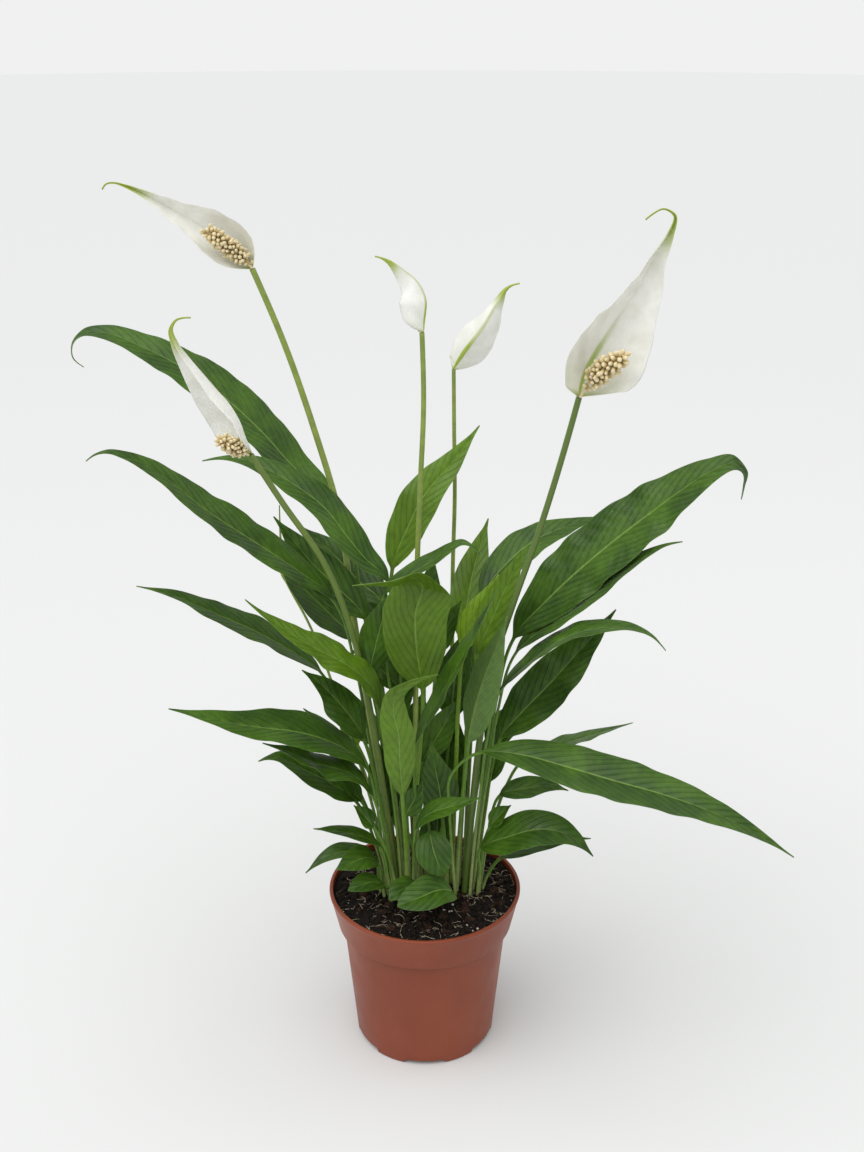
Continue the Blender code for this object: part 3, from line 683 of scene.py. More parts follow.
@dataclass
class Shell:
    """A mesh in the making: points, faces and the numbers that its finish reads."""

    points: np.ndarray
    faces: list[tuple[int, ...]]
    numbers: dict[str, np.ndarray] = field(default_factory=dict)

    def bare(self, name: str) -> bpy.types.Object:
        """Makes the object with its faces turned outwards, and nothing more.

        Args:
            name: The object's name.

        Returns:
            The new object.
        """
        mesh = bpy.data.meshes.new(name)
        mesh.from_pydata(self.points.tolist(), [], self.faces)
        for key, values in self.numbers.items():
            layer = mesh.attributes.new(key, "FLOAT", "POINT")
            layer.data.foreach_set("value", np.asarray(values, np.float32))
        form = bmesh.new()
        form.from_mesh(mesh)
        bmesh.ops.recalc_face_normals(form, faces=form.faces)
        form.to_mesh(mesh)
        form.free()
        return put(name, mesh)

    def piece(self, name: str, finish: Finish, slot: str, nodes: Sequence[str] = ()) -> bpy.types.Object:
        """Makes the object, dresses it and hands it to the frame.

        Args:
            name: The object's name.
            finish: What it is dressed in.
            slot: Not used.
            nodes: CAD nodes that it stands for.

        Returns:
            The new object.
        """
        made = self.bare(name)
        made.data.shade_smooth()
        made.data.materials.append(finish.material())
        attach(made, ROOT)
        if nodes:
            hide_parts(*nodes)
        log.info("%s: %d points", name, len(self.points))
        return made


def join(shells: Iterable[Shell]) -> Shell:
    """Puts several shells into one.

    Args:
        shells: The shells, which all carry the same numbers.

    Returns:
        One shell with all their points and faces.
    """
    points, faces, numbers, start = [], [], {}, 0
    for shell in shells:
        points.append(shell.points)
        faces += [tuple(start + i for i in face) for face in shell.faces]
        for key, values in shell.numbers.items():
            numbers.setdefault(key, []).append(values)
        start += len(shell.points)
    return Shell(np.concatenate(points), faces, {key: np.concatenate(v) for key, v in numbers.items()})


def tube_faces(rows: int, count: int, ends: bool = True) -> list[tuple[int, ...]]:
    """Faces of a tube of rings.

    Args:
        rows: Rings along the tube.
        count: Points in each ring.
        ends: Whether both ends are closed.

    Returns:
        The faces by point numbers.
    """
    k, i = np.meshgrid(np.arange(rows - 1), np.arange(count), indexing="ij")
    j = (i + 1) % count
    quads = np.stack([k * count + i, k * count + j, (k + 1) * count + j, (k + 1) * count + i], -1)
    faces = [tuple(quad) for quad in quads.reshape(-1, 4).tolist()]
    if ends:
        faces.append(tuple(range(count))[::-1])
        faces.append(tuple(range((rows - 1) * count, rows * count)))
    return faces


def stations(rings: np.ndarray, step: float, finest: int, most: int) -> tuple[np.ndarray, np.ndarray]:
    """Places along a loft, closer where its rings are closer.

    Args:
        rings: The rings of the loft.
        step: Wished distance between places, in metres.
        finest: Least number of places between two rings.
        most: Largest number of places between two rings.

    Returns:
        The distance of each ring, and the places as distances.
    """
    centres = rings.mean(1)
    gaps = np.linalg.norm(np.diff(centres, axis=0), axis=1)
    at = np.concatenate([[0.0], np.cumsum(gaps)])
    places = [np.linspace(a, b, int(np.clip(math.ceil((b - a) / step), finest, most)), endpoint=False)
              for a, b in zip(at, at[1:])]
    return at, np.concatenate([*places, [at[-1]]])


class Age(Enum):
    """How old a leaf is, which sets how yellow its green is."""

    YOUNG = 0.85
    FRESH = 0.35
    GROWN = 0.0


@dataclass
class Blade:
    """A leaf or a spathe: a thin sheet lofted through the rings of its CAD node."""

    node: str
    points: int = 8                 # points in each CAD ring
    stalk: int = 5                  # number of the ring where the petiole ends, 0 where there is none
    thin: float = 0.62              # thickness against the CAD blade, which is thicker than the real one
    edge: float = 0.10              # half thickness at the margin, in millimetres
    waves: float = 0.45             # height of the margin's waves, in millimetres
    wave_mm: float = 30.0           # length of a wave
    vein_mm: float = 9.0            # distance between side veins along the midrib
    vein_lean: float = 2.4          # how far a side vein runs forward, against the half width
    quilt: float = 0.2              # height of the quilting between side veins, in millimetres
    groove: float = 0.5             # depth of the midrib's groove, in millimetres
    step: float = 1.5 * MM
    tone: float = 0.0
    across: tuple[float, ...] = (0, 0.035, 0.08, 0.15, 0.24, 0.35, 0.47, 0.6, 0.72, 0.83, 0.92, 0.975, 1.0)

    def start(self) -> np.ndarray | None:
        """Where the first ring is, or None where it is the lowest one."""
        return None

    def rings(self) -> np.ndarray:
        """The sections of its CAD node, each from the left margin over the upper side."""
        return Rings(self.node, self.points, self.start()).from_left()

    def seed(self) -> np.random.Generator:
        """Chance that is the same at every run, and differs from leaf to leaf."""
        return np.random.default_rng(sum(ord(c) * 31**k for k, c in enumerate(self.node)) % 2**31)

    def sheet(self, rings: np.ndarray, at: np.ndarray, places: np.ndarray) -> tuple[np.ndarray, np.ndarray]:
        """Middle surface and half thickness of the loft.

        Args:
            rings: The CAD rings from the left margin.
            at: Distance of each ring.
            places: Distances to read.

        Returns:
            Places by columns by coordinates, and places by columns.
        """
        count = rings.shape[1]
        half = count // 2
        axis = (rings[:, half // 2] + rings[:, half // 2 + half]) / 2
        line = spline(at, axis, places)
        cage = spline(at, (rings - axis[:, None]).reshape(len(at), -1), places, keep_shape=True)
        cage = cage.reshape(len(places), count, 3) + line[:, None]
        upper = cage[:, :half + 1]
        lower = np.concatenate([cage[:, :1], cage[:, :half - 1:-1]], axis=1)
        shares = np.array(self.across)
        knots = np.linspace(0, 1, half // 2 + 1)
        sides = []
        for surface in (upper, lower):
            left = surface[:, half // 2::-1].transpose(1, 0, 2).reshape(len(knots), -1)
            right = surface[:, half // 2:].transpose(1, 0, 2).reshape(len(knots), -1)
            halves = [spline(knots, side, shares).reshape(len(shares), len(places), 3)
                      for side in (left, right)]
            sides.append(np.concatenate([halves[0][:0:-1], halves[1]]).transpose(1, 0, 2))
        return (sides[0] + sides[1]) / 2, np.linalg.norm(sides[0] - sides[1], axis=2) / 2

    def build(self) -> Shell:
        """Lofts the sheet with its waves, veins and thickness.

        Returns:
            The closed shell with its map.
        """
        rings = self.rings()
        at, places = stations(rings, self.step, 2, 26)
        middle, thick = self.sheet(rings, at, places)
        share = np.concatenate([-np.array(self.across)[:0:-1], self.across])
        begins = at[self.stalk]
        along = np.where(places < begins, (places - begins) / max(begins, 1e-6) * 0.2,
                         (places - begins) / (at[-1] - begins))
        on_blade = np.clip((places - begins) / (6 * MM), 0, 1)[:, None]
        half = np.linalg.norm(np.diff(middle, axis=1), axis=2).sum(1)[:, None] / 2
        run = (places - begins)[:, None] / MM
        lean = self.vein_lean * np.abs(share) ** 1.25 * half / MM
        vein = (run - lean) / self.vein_mm
        middle, up = self.dress(middle, share, on_blade, along[:, None], half, run, vein)
        solid = np.where(on_blade > 0, thick * (1 - on_blade * (1 - self.thin)), thick)
        solid = solid + self.edge * MM * on_blade
        rib = np.exp(-((np.abs(share) * half) / (1.0 * MM)) ** 2) * on_blade
        rib = rib * (1 - np.clip(along[:, None], 0, 1)) ** 0.5
        top = middle + up * (solid - rib * self.groove * MM * 0.8)[..., None]
        low = middle - up * (solid + rib * self.groove * MM * 0.5)[..., None]
        ring = np.concatenate([top, low[:, -2:0:-1]], axis=1)
        numbers = {
            "across": np.tile(np.concatenate([share, share[-2:0:-1]]), (len(places), 1)),
            "along": np.repeat(along[:, None], ring.shape[1], 1),
            "vein": np.concatenate([vein, vein[:, -2:0:-1]], 1),
            "back": np.concatenate([np.zeros(top.shape[:2]), np.ones((len(places), len(share) - 2))], 1),
            "tone": np.full(ring.shape[:2], self.tone),
        }
        numbers["back"][:, [0, len(share) - 1]] = 0.5
        return Shell(ring.reshape(-1, 3), tube_faces(*ring.shape[:2]),
                     {name: values.reshape(-1) for name, values in numbers.items()})

    def dress(self, middle: np.ndarray, share: np.ndarray, on_blade: np.ndarray, along: np.ndarray,
              half: np.ndarray, run: np.ndarray, vein: np.ndarray) -> tuple[np.ndarray, np.ndarray]:
        """Waves the margins and quilts the blade.

        Args:
            middle: The plain middle surface.
            share: Columns from -1 to 1.
            on_blade: 0 on the petiole and 1 on the blade.
            along: Share of the blade's length.
            half: Half width at each place, in metres.
            run: Millimetres from the blade's foot.
            vein: Side veins counted along the blade.

        Returns:
            The dressed surface and its upward directions.
        """
        chance = self.seed()
        up = self.upward(middle)
        envelope = on_blade * np.sin(np.pi * np.clip(along, 0, 1)) ** 0.7
        envelope = envelope * np.clip(half / (11 * MM), 0, 1.3)
        wave = np.zeros_like(vein)
        for side in (-1, 1):
            mine = np.clip(share * side, 0, 1) ** 2
            for size, stretch in ((1.0, 1.0), (0.45, 0.53), (0.8, 2.3)):
                phase, drift = chance.uniform(0, 2 * math.pi), chance.uniform(0.85, 1.2)
                length = self.wave_mm * stretch * drift
                wave = wave + mine * size * np.sin(2 * math.pi * run / length + phase)
        quilt = np.abs(np.sin(math.pi * vein)) ** 0.7 - 0.6
        inner = np.clip((np.abs(share) - 0.04) / 0.2, 0, 1) * np.clip((1.02 - np.abs(share)) / 0.25, 0, 1)
        rise = (wave * self.waves * envelope + quilt * inner * self.quilt * envelope) * MM
        moved = middle + up * rise[..., None]
        return moved, self.upward(moved)

    @staticmethod
    def upward(surface: np.ndarray) -> np.ndarray:
        """Directions square to a surface, on its upper side.

        Args:
            surface: Places by columns by coordinates.

        Returns:
            Directions of length 1.
        """
        forward = np.gradient(surface, axis=0)
        sideways = np.gradient(surface, axis=1)
        return unit(np.cross(sideways, forward))


@dataclass
class Leaf(Blade):
    """A leaf with its petiole, which runs a little way into the soil."""

    def piece(self) -> bpy.types.Object:
        """Builds the leaf in place of its CAD node."""
        return self.build().piece(f"{self.node}_living", LivingLeaf(), "leaf", [self.node])


@dataclass
class FillLeaf(Blade):
    """A small inner leaf of the crown that has no CAD node of its own."""

    root: tuple[float, float] = (0.0, 0.0)
    line: tuple[tuple[float, float, float], ...] = ()   # midrib in millimetres, from the blade's base
    width: float = 16.0
    looks: tuple[float, float, float] = (0.0, -0.5, 1.0)
    waves: float = 0.35
    petiole_radius: float = 1.1
    half_thick: float = 0.35
    widest: float = 0.38            # where the blade is widest, as a share of its length
    fold: float = 0.25              # how far each half rises, against its width
    blade_at: tuple[float, ...] = (0.05, 0.14, 0.27, 0.42, 0.57, 0.71, 0.83, 0.93, 1.0)
    petiole_at: tuple[float, ...] = (0.0, 0.1, 0.3, 0.53, 0.77, 1.0)

    def rings(self) -> np.ndarray:
        """Sections along a petiole that bows out of the soil and a blade that widens and ends in a point.

        Returns:
            Sections by 8 points by coordinates, each from the left margin over the upper side.
        """
        foot, base = np.array([*self.root, SOIL_TOP_MM]), np.array(self.line[0])
        bow = foot + (base - foot) * np.array([0.35, 0.35, 0.55])
        knots = np.array([foot, bow, *self.line])
        at = np.concatenate([[0.0], np.cumsum(np.linalg.norm(np.diff(knots, axis=0), axis=1))])
        begins, ends = at[2], at[-1]
        places = np.array([begins * share for share in self.petiole_at]
                          + [begins + (ends - begins) * share for share in self.blade_at])
        centre = spline(at, knots, places)
        forward = unit(np.gradient(spline(at, knots, np.linspace(0, ends, 200)), axis=0))
        forward = forward[np.clip((places / ends * 199).astype(int), 0, 199)]
        side = unit(np.cross(forward, np.array(self.looks)))
        lift = np.cross(side, forward)
        share = np.clip((places - begins) / (ends - begins), 0, 1)
        shape = (share / self.widest) ** 0.8 * ((1 - share) / (1 - self.widest)) ** 1.3
        half = np.maximum(self.width / 2 * shape, np.where(share > 0.5, self.half_thick, self.petiole_radius))
        thick = np.where(share > 0, self.half_thick, self.petiole_radius)
        columns = []
        for across, up in ((-1, 0), (-0.5, 1), (0, 1), (0.5, 1), (1, 0), (0.5, -1), (0, -1), (-0.5, -1)):
            rise = abs(across) * half * self.fold * (share > 0) + up * thick
            columns.append(centre + side * across * half[:, None] + lift * rise[:, None])
        return np.stack(columns, axis=1) * MM

    def piece(self) -> bpy.types.Object:
        """Builds the leaf, which no CAD node stands for."""
        return self.build().piece(self.node, LivingLeaf(), "leaf")


@dataclass
class Spathe(Blade):
    """A spathe: a hooded white bract that leaves the end of a flower stem."""

    number: int = 1
    points: int = 12
    stalk: int = 0
    thin: float = 0.7
    waves: float = 0.3
    wave_mm: float = 26.0
    vein_mm: float = 60.0
    quilt: float = 0.0
    groove: float = 0.25
    step: float = 0.9 * MM

    def start(self) -> np.ndarray:
        """The end of the flower stem."""
        return Rings(f"flower_stem_{self.number}", 8).centres[-1]

    def piece(self) -> bpy.types.Object:
        """Builds the spathe in place of its CAD node."""
        return self.build().piece(f"{self.node}_white", ThinSpathe(), "spathe", [self.node])


@dataclass
class Stem:
    """A round stem lofted through the middles of its CAD rings."""

    node: str
    slot: str = "stem"
    sides: int = 24
    tone: float = 0.0
    step: float = 2.0 * MM

    def piece(self) -> bpy.types.Object:
        """Builds the stem in place of its CAD node.

        Returns:
            The stem.
        """
        rings = Rings(self.node, 8)
        at, places = stations(rings.rings, self.step, 3, 60)
        line = spline(at, rings.centres, places)
        radius = spline(at, rings.radii[:, None], places, keep_shape=True)
        ridges = 1 + 0.02 * np.cos(5 * circle(self.sides) + 1.0)
        ring = hoops(line, radius * ridges, (0.0, -1.0, 0.05), self.sides)[0]
        share = np.repeat((places / at[-1])[:, None], self.sides, 1)
        around = np.tile(np.abs(np.linspace(-1, 1, self.sides, endpoint=False)), (len(places), 1))
        numbers = {"along": share.reshape(-1), "across": around.reshape(-1),
                   "tone": np.full(ring.shape[0] * ring.shape[1], self.tone)}
        shell = Shell(ring.reshape(-1, 3), tube_faces(*ring.shape[:2]), numbers)
        return shell.piece(f"{self.node}_fleshy", FleshyStem(), self.slot, [self.node])


@dataclass
class Spadix:
    """A spadix: a core packed with tiny flowers in a spiral, each a rounded peg."""

    number: int
    pitch: float = 3.4 * MM         # distance between flowers
    peg: float = 4.2 * MM           # how far a flower stands out of the core
    proud: float = 0.9 * MM         # how far the flowers' tips pass the CAD spike
    early: float = 4.0 * MM         # how far below the thick part the first flowers stand
    full: float = 6.2 * MM          # radius of a spike whose flowers have these full sizes
    peg_sides: int = 8
    core_sides: int = 16

    @property
    def node(self) -> str:
        """The CAD node's name."""
        return f"spadix_{self.number}"

    def peg_shell(self, foot: np.ndarray, out: np.ndarray, size: float, long: float) -> Shell:
        """One flower: a peg that swells a little and ends in a dome.

        Args:
            foot: Where it stands, inside the core.
            out: Its direction.
            size: Its radius.
            long: Its length above the foot.

        Returns:
            The peg.
        """
        side = unit(np.cross(out, np.array([0.31, 0.17, 0.93])))
        lift = np.cross(side, out)
        turn = circle(self.peg_sides)
        around = np.outer(np.cos(turn), side) + np.outer(np.sin(turn), lift)
        rows, height = [], []
        for rise, wide in ((0.0, 0.8), (0.45, 1.0), (0.75, 0.98), (0.9, 0.78), (0.98, 0.42)):
            rows.append(foot + out * long * rise + size * wide * around)
            height += [rise] * self.peg_sides
        points = np.concatenate([*rows, [foot + out * long]])
        faces = tube_faces(len(rows), self.peg_sides, ends=False)
        last = (len(rows) - 1) * self.peg_sides
        faces += [(last + i, last + (i + 1) % self.peg_sides, len(points) - 1) for i in range(self.peg_sides)]
        faces.append(tuple(range(self.peg_sides))[::-1])
        return Shell(points, faces, {"height": np.array([*height, 1.0])})

    def piece(self) -> bpy.types.Object:
        """Builds the spadix in place of its CAD node.

        Returns:
            The spadix.
        """
        chance = np.random.default_rng(50 + self.number)
        stem_end = Rings(f"flower_stem_{self.number}", 8).centres[-1]
        rings = Rings(self.node, 8, stem_end)
        at, places = stations(rings.rings, 0.6 * MM, 3, 40)
        line = spline(at, rings.centres, places)
        radius = spline(at, rings.radii[:, None], places, keep_shape=True)[:, 0]
        neck = at[1]
        scale = float(np.clip(radius.max() / self.full, 0.5, 1.0))
        peg, pitch = self.peg * scale, self.pitch * scale
        core = np.where(places > neck, np.maximum(radius - 0.85 * peg, 0.4 * radius), radius)
        ring, forward, side, lift = hoops(line, core[:, None], (0.2, -1.0, 0.1), self.core_sides)
        shade = {"height": np.repeat(np.where(places > neck, 0.1, 0.7), self.core_sides)}
        shells = [Shell(ring.reshape(-1, 3), tube_faces(*ring.shape[:2]), shade)]
        distance, number = max(neck + 0.6 * MM - self.early, 0.5 * neck), 0
        while distance < at[-1] - 0.2 * MM:
            wide = float(np.interp(distance, places, radius))
            k = int(np.argmin(abs(places - distance)))
            angle = number * GOLDEN_TURN
            around = side[k] * math.cos(angle) + lift[k] * math.sin(angle)
            tipped = np.clip((distance - at[-1] + 4 * MM) / (4 * MM), 0, 1)
            out = unit(around + forward[k] * (0.15 + 1.6 * tipped**2) + chance.normal(0, 0.2, 3))
            long = peg * chance.uniform(0.75, 1.25)
            foot = line[k] + around * max(wide + self.proud * scale - peg, 0.2 * wide)
            size = pitch * 0.38 * chance.uniform(0.8, 1.15)
            shells.append(self.peg_shell(foot, out, size, long + 0.25 * MM))
            distance += pitch**2 * 0.95 / (2 * math.pi * max(wide, 0.8 * MM))
            number += 1
        cap = self.peg_shell(line[-1] - forward[-1] * peg, forward[-1], pitch * 0.42, peg * 1.15)
        return join([*shells, cap]).piece(f"{self.node}_flowers", SpadixFlower(), "spadix", [self.node])


# --------------------------------------------------------------------------------------------------
# Pot and soil
# --------------------------------------------------------------------------------------------------
@dataclass
class NurseryPot:
    """The injection-moulded pot, in millimetres.

    It has a tapered body, a stacking band, a rolled lip, feet parted by water notches, and drain holes.
    """

    sides: int = 192
    height: float = 105.0
    rim: float = 60.0
    band: float = 24.4              # height of the stacking band with the lip
    band_radius: float = 54.9
    body_radius: float = 51.4
    base_radius: float = 43.9
    wall: float = 1.5
    foot: float = 3.4               # height of the feet
    foot_inside: float = 39.3
    foot_outside: float = 43.1
    foot_round: float = 0.75
    floor: float = 2.0
    notches: int = 6
    notch_width: float = 25.0
    notch_height: float = 3.0
    notch_slope: float = 0.9
    notch_from: float = 38.2        # the cut runs between these two distances from the middle
    notch_to: float = 46.5
    drain_radius: float = 3.5
    drain_circle: float = 30.0

    def inner(self, height: float) -> float:
        """Radius of the inside at a height.

        Args:
            height: Millimetres above the table.

        Returns:
            The radius in millimetres.
        """
        step = self.height - self.band
        if height > step:
            return self.band_radius + (self.rim - self.band_radius) * (height - step) / self.band - self.wall
        share = (height - self.foot) / (step - self.foot)
        return self.base_radius + (self.body_radius - self.base_radius) * share - self.wall

    def profile(self) -> list[tuple[float, float]]:
        """The half section that is turned round the middle.

        Returns:
            Radii and heights from the middle of the floor's underside, round the outside, to the middle of
            its top.
        """
        step, high, rim, inside = self.height - self.band, self.height, self.rim, self.foot_inside
        # Underside of the floor, and a foot
        rows = [(0.0, self.foot), (inside - 0.4, self.foot), (inside, self.foot - 0.4), (inside, 0.35),
                (inside + 0.35, 0.0), (self.foot_outside, 0.0)]
        rows += [(self.foot_outside + self.foot_round * math.sin(t), self.foot_round * (1 - math.cos(t)))
                 for t in np.radians([20, 42, 64, 86])]
        # Tapered body
        taper = (self.body_radius - self.base_radius) / (step - 2.2)
        for share in np.linspace(0.06, 0.97, 12):
            z = 1.0 + (step - 1.0) * share
            rows.append((self.base_radius + taper * (z - 1.4), z))
        # Step out to the stacking band, and the band
        rows += [(51.45, step - 0.9), (51.6, step - 0.35), (52.1, step), (53.8, step + 0.15),
                 (54.5, step + 0.45), (54.85, step + 1.0), (54.95, step + 1.6)]
        rows += [(54.95 + 4.55 * s, step + 1.6 + 20.3 * s) for s in (0.2, 0.45, 0.7, 0.9, 0.98)]
        # Rolled lip
        rows += [(rim - 0.38, high - 2.25), (rim - 0.1, high - 1.95), (rim, high - 1.5), (rim, high - 0.8),
                 (rim - 0.15, high - 0.35), (rim - 0.5, high - 0.05), (rim - 1.4, high),
                 (rim - 2.05, high - 0.1), (rim - 2.3, high - 0.5), (rim - 2.3, high - 1.4)]
        # Inside and the top of the floor
        rows += [(self.inner(z), z) for z in (102.8, 98.0, 92.0, 86.0, step + 2.0)]
        rows += [(self.inner(z), z) for z in (step - 2.4, 60.0, 40.0, 20.0, 8.0)]
        floor_top = self.foot + self.floor
        corner = self.inner(floor_top)
        return rows + [(corner - 0.6, floor_top + 0.3), (corner - 1.6, floor_top), (0.0, floor_top)]

    def turned(self) -> Shell:
        """The plain turned body, before its notches and holes are cut.

        Returns:
            The closed shell in metres.
        """
        rows = self.profile()
        turn = circle(self.sides) + math.pi / self.sides
        ring = np.array([[(r * math.cos(t), r * math.sin(t), z) for t in turn] for r, z in rows[1:-1]])
        faces = tube_faces(len(rows) - 2, self.sides, ends=False)
        last = len(rows) - 3
        low, high = (last + 1) * self.sides, (last + 1) * self.sides + 1
        for i in range(self.sides):
            j = (i + 1) % self.sides
            faces += [(low, j, i), (high, last * self.sides + i, last * self.sides + j)]
        points = np.concatenate([ring.reshape(-1, 3), [(0, 0, rows[0][1]), (0, 0, rows[-1][1])]]) * MM
        return Shell(points, faces)

    def cutters(self) -> list[bpy.types.Object]:
        """The water notches between the feet and the drain holes.

        Returns:
            The shapes to cut away.
        """
        half, top = self.notch_width / 2, self.notch_height
        section = [(-half - self.notch_slope, -1.0), (half + self.notch_slope, -1.0), (half, top - 0.5),
                   (half - 0.8, top), (-half + 0.8, top), (-half, top - 0.5)]
        around = circle(32)
        shapes = []
        for k in range(self.notches):
            turn = math.radians(-90 + 360 / self.notches * k)
            c, s = math.cos(turn), math.sin(turn)
            notch = [(x * c - y * s, x * s + y * c, z)
                     for x in (self.notch_from, self.notch_to) for y, z in section]
            drain = [(self.drain_circle * c + self.drain_radius * math.cos(a),
                      self.drain_circle * s + self.drain_radius * math.sin(a), z)
                     for z in (1.0, 9.0) for a in around]
            shapes += [Shell(np.array(points) * MM, tube_faces(2, len(points) // 2)).bare("cutter")
                       for points in (notch, drain)]
        return shapes

    def piece(self) -> bpy.types.Object:
        """Builds the pot in place of its CAD node.

        Returns:
            The pot.
        """
        pot = self.turned().piece("pot_moulded", MouldedPolypropylene(), "pot_plastic", ["pot"])
        cutters = self.cutters()
        for shape in cutters:
            cut = pot.modifiers.new("cut", "BOOLEAN")
            cut.operation, cut.solver, cut.object = "DIFFERENCE", "EXACT", shape
        bpy.context.view_layer.update()
        done = bpy.data.meshes.new_from_object(pot.evaluated_get(bpy.context.evaluated_depsgraph_get()))
        pot.modifiers.clear()
        pot.data = done
        for shape in cutters:
            bpy.data.objects.remove(shape, do_unlink=True)
        done.materials.clear()
        done.materials.append(MouldedPolypropylene().material())
        done.shade_smooth()
        done.set_sharp_from_angle(angle=math.radians(42))
        return pot


@dataclass
class PottingSoil:
    """The potting mix: a lumpy surface with crumbs, bark, coir fibres and perlite."""

    top: float = SOIL_TOP_MM
    dip: float = 0.5
    seed: int = 7
    crumbs: int = 1300
    bark: int = 220
    fibres: int = 300
    perlite: int = 110
    rows: int = 58                  # rings of the surface, and points in each
    around: int = 150
    depths: tuple[float, ...] = (88.0, 70.0, 40.0, 5.8)     # rings down the side, in millimetres
    pot: NurseryPot = field(default_factory=NurseryPot)

    def level(self, x: float, y: float) -> float:
        """Height of the lumpy surface at a point.

        Args:
            x: Millimetres to the right of the middle.
            y: Millimetres behind the middle.

        Returns:
            Millimetres above the table.
        """
        far = math.hypot(x, y) / self.pot.inner(self.top)
        lumps = noise.fractal(Vector((x / 9, y / 9, 3.1)), 1.0, 2.1, 4) * 1.5
        grit = noise.fractal(Vector((x / 2.2, y / 2.2, 8.7)), 0.9, 2.2, 3) * 0.55
        return self.top - self.dip * max(far, 0) ** 3 + lumps * (1 - 0.4 * far) + grit

    def surface(self) -> bpy.types.Object:
        """The body of the soil with its lumpy top, in place of the CAD node.

        Returns:
            The soil.
        """
        around = circle(self.around)
        points = []
        for r in np.linspace(0.02, 1, self.rows) * (self.pot.inner(self.top - self.dip) - 0.35):
            spots = [(r * math.cos(t), r * math.sin(t)) for t in around]
            points += [(x, y, self.level(x, y)) for x, y in spots]
        for z in self.depths:
            r = self.pot.inner(z) - 0.45
            points += [(r * math.cos(t), r * math.sin(t), z) for t in around]
        shell = Shell(np.array(points) * MM, tube_faces(self.rows + len(self.depths), self.around))
        return shell.piece("soil_peat", LooseMatter(), "potting_soil", ["soil"])

    def lump(self, chance: np.random.Generator, place: Sequence[float], size: Sequence[float]) -> Shell:
        """One irregular bit.

        Args:
            chance: The source of chance.
            place: Its middle, in millimetres.
            size: Its half sizes, in millimetres.

        Returns:
            The bit.
        """
        turn = circle(7)
        rows = []
        for height, wide in ((-0.95, 0.35), (-0.5, 0.85), (0.1, 1.0), (0.6, 0.78), (0.95, 0.32)):
            row = np.stack([wide * np.cos(turn), wide * np.sin(turn), np.full(7, height)], 1)
            rows.append(row * chance.uniform(0.78, 1.2, (7, 1)))
        points = np.concatenate(rows) * np.array(size)
        spin = Vector(chance.normal(0, 1, 3)).to_track_quat("Z", "Y").to_matrix()
        points = points @ np.array(spin).T + np.array(place)
        return Shell(points * MM, tube_faces(5, 7))

    def spot(self, chance: np.random.Generator, reach: float) -> tuple[float, float]:
        """A place on the soil.

        Args:
            chance: The source of chance.
            reach: How far from the middle it may be, in millimetres.

        Returns:
            The place in millimetres.
        """
        r, t = reach * math.sqrt(chance.uniform(0, 1)), chance.uniform(0, 2 * math.pi)
        return r * math.cos(t), r * math.sin(t)

    def bits(self, name: str, finish: LooseMatter, count: int, small: float, large: float, flat: float,
             sink: float, seed: int) -> bpy.types.Object:
        """Many bits of one kind in one piece.

        Args:
            name: The piece's name.
            finish: What they are dressed in.
            count: How many there are.
            small: Least half size, in millimetres.
            large: Largest half size.
            flat: Thickness against width.
            sink: Share of the size that is under the surface.
            seed: Start of the chance.

        Returns:
            The piece.
        """
        chance = np.random.default_rng(seed)
        shells = []
        for _ in range(count):
            size = small + (large - small) * chance.uniform(0, 1) ** 2.5
            x, y = self.spot(chance, self.pot.inner(self.top) - 1.5 - size)
            place = (x, y, self.level(x, y) + size * (0.35 - sink))
            shells.append(self.lump(chance, place, (size, size * chance.uniform(0.55, 0.9), size * flat)))
        return join(shells).piece(name, finish, "potting_soil")

    def fibre(self, chance: np.random.Generator) -> Shell:
        """One curled coir fibre that lies on the soil.

        Args:
            chance: The source of chance.

        Returns:
            The fibre.
        """
        length, bow = chance.uniform(4, 17), chance.normal(0, 1.6)
        x, y = self.spot(chance, self.pot.inner(self.top) - 4)
        heading, steps, sides = chance.uniform(0, 2 * math.pi), 12, 6
        room = self.pot.inner(self.top) - 1.2
        line = []
        for k in range(steps):
            x += math.cos(heading) * length / steps
            y += math.sin(heading) * length / steps
            heading += (bow + chance.normal(0, 1.2)) / steps
            far = math.hypot(x, y)
            if far > room:
                x, y = x * room / far, y * room / far
            arch = 0.9 * math.sin(math.pi * k / (steps - 1)) * abs(bow) / 2
            line.append((x, y, self.level(x, y) + 0.25 + arch))
        wide = chance.uniform(0.09, 0.24) * (1 - 0.6 * np.linspace(-1, 1, steps) ** 4)
        ring = hoops(np.array(line), wide[:, None], (0.0, 0.0, 1.0), sides)[0]
        return Shell(ring.reshape(-1, 3) * MM, tube_faces(steps, sides))

    def pieces(self) -> None:
        """Builds the soil and everything loose on it."""
        self.surface()
        crumbs = LooseMatter("soil_peat_crumbs", "#0e0a07", "#2a1e16", 1.5, 0.4)
        self.bits("soil_crumbs", crumbs, self.crumbs, 0.6, 2.6, 0.8, 0.2, self.seed + 1)
        bark = LooseMatter("soil_bark", "#1a100a", "#4a3322", 1.2, 0.4)
        self.bits("soil_bark_bits", bark, self.bark, 1.0, 4.0, 0.4, 0.1, self.seed + 2)
        perlite = LooseMatter("soil_perlite", "#bdb6a8", "#e6e1d6", 0.8, 0.3)
        self.bits("soil_perlite", perlite, self.perlite, 0.25, 1.1, 0.85, 0.15, self.seed + 3)
        chance = np.random.default_rng(self.seed)
        fibres = LooseMatter("soil_coir_fibre", "#857660", "#d3c7ae", 2.0, 0.2, 0.8)
        join(self.fibre(chance) for _ in range(self.fibres)).piece("soil_fibres", fibres, "potting_soil")


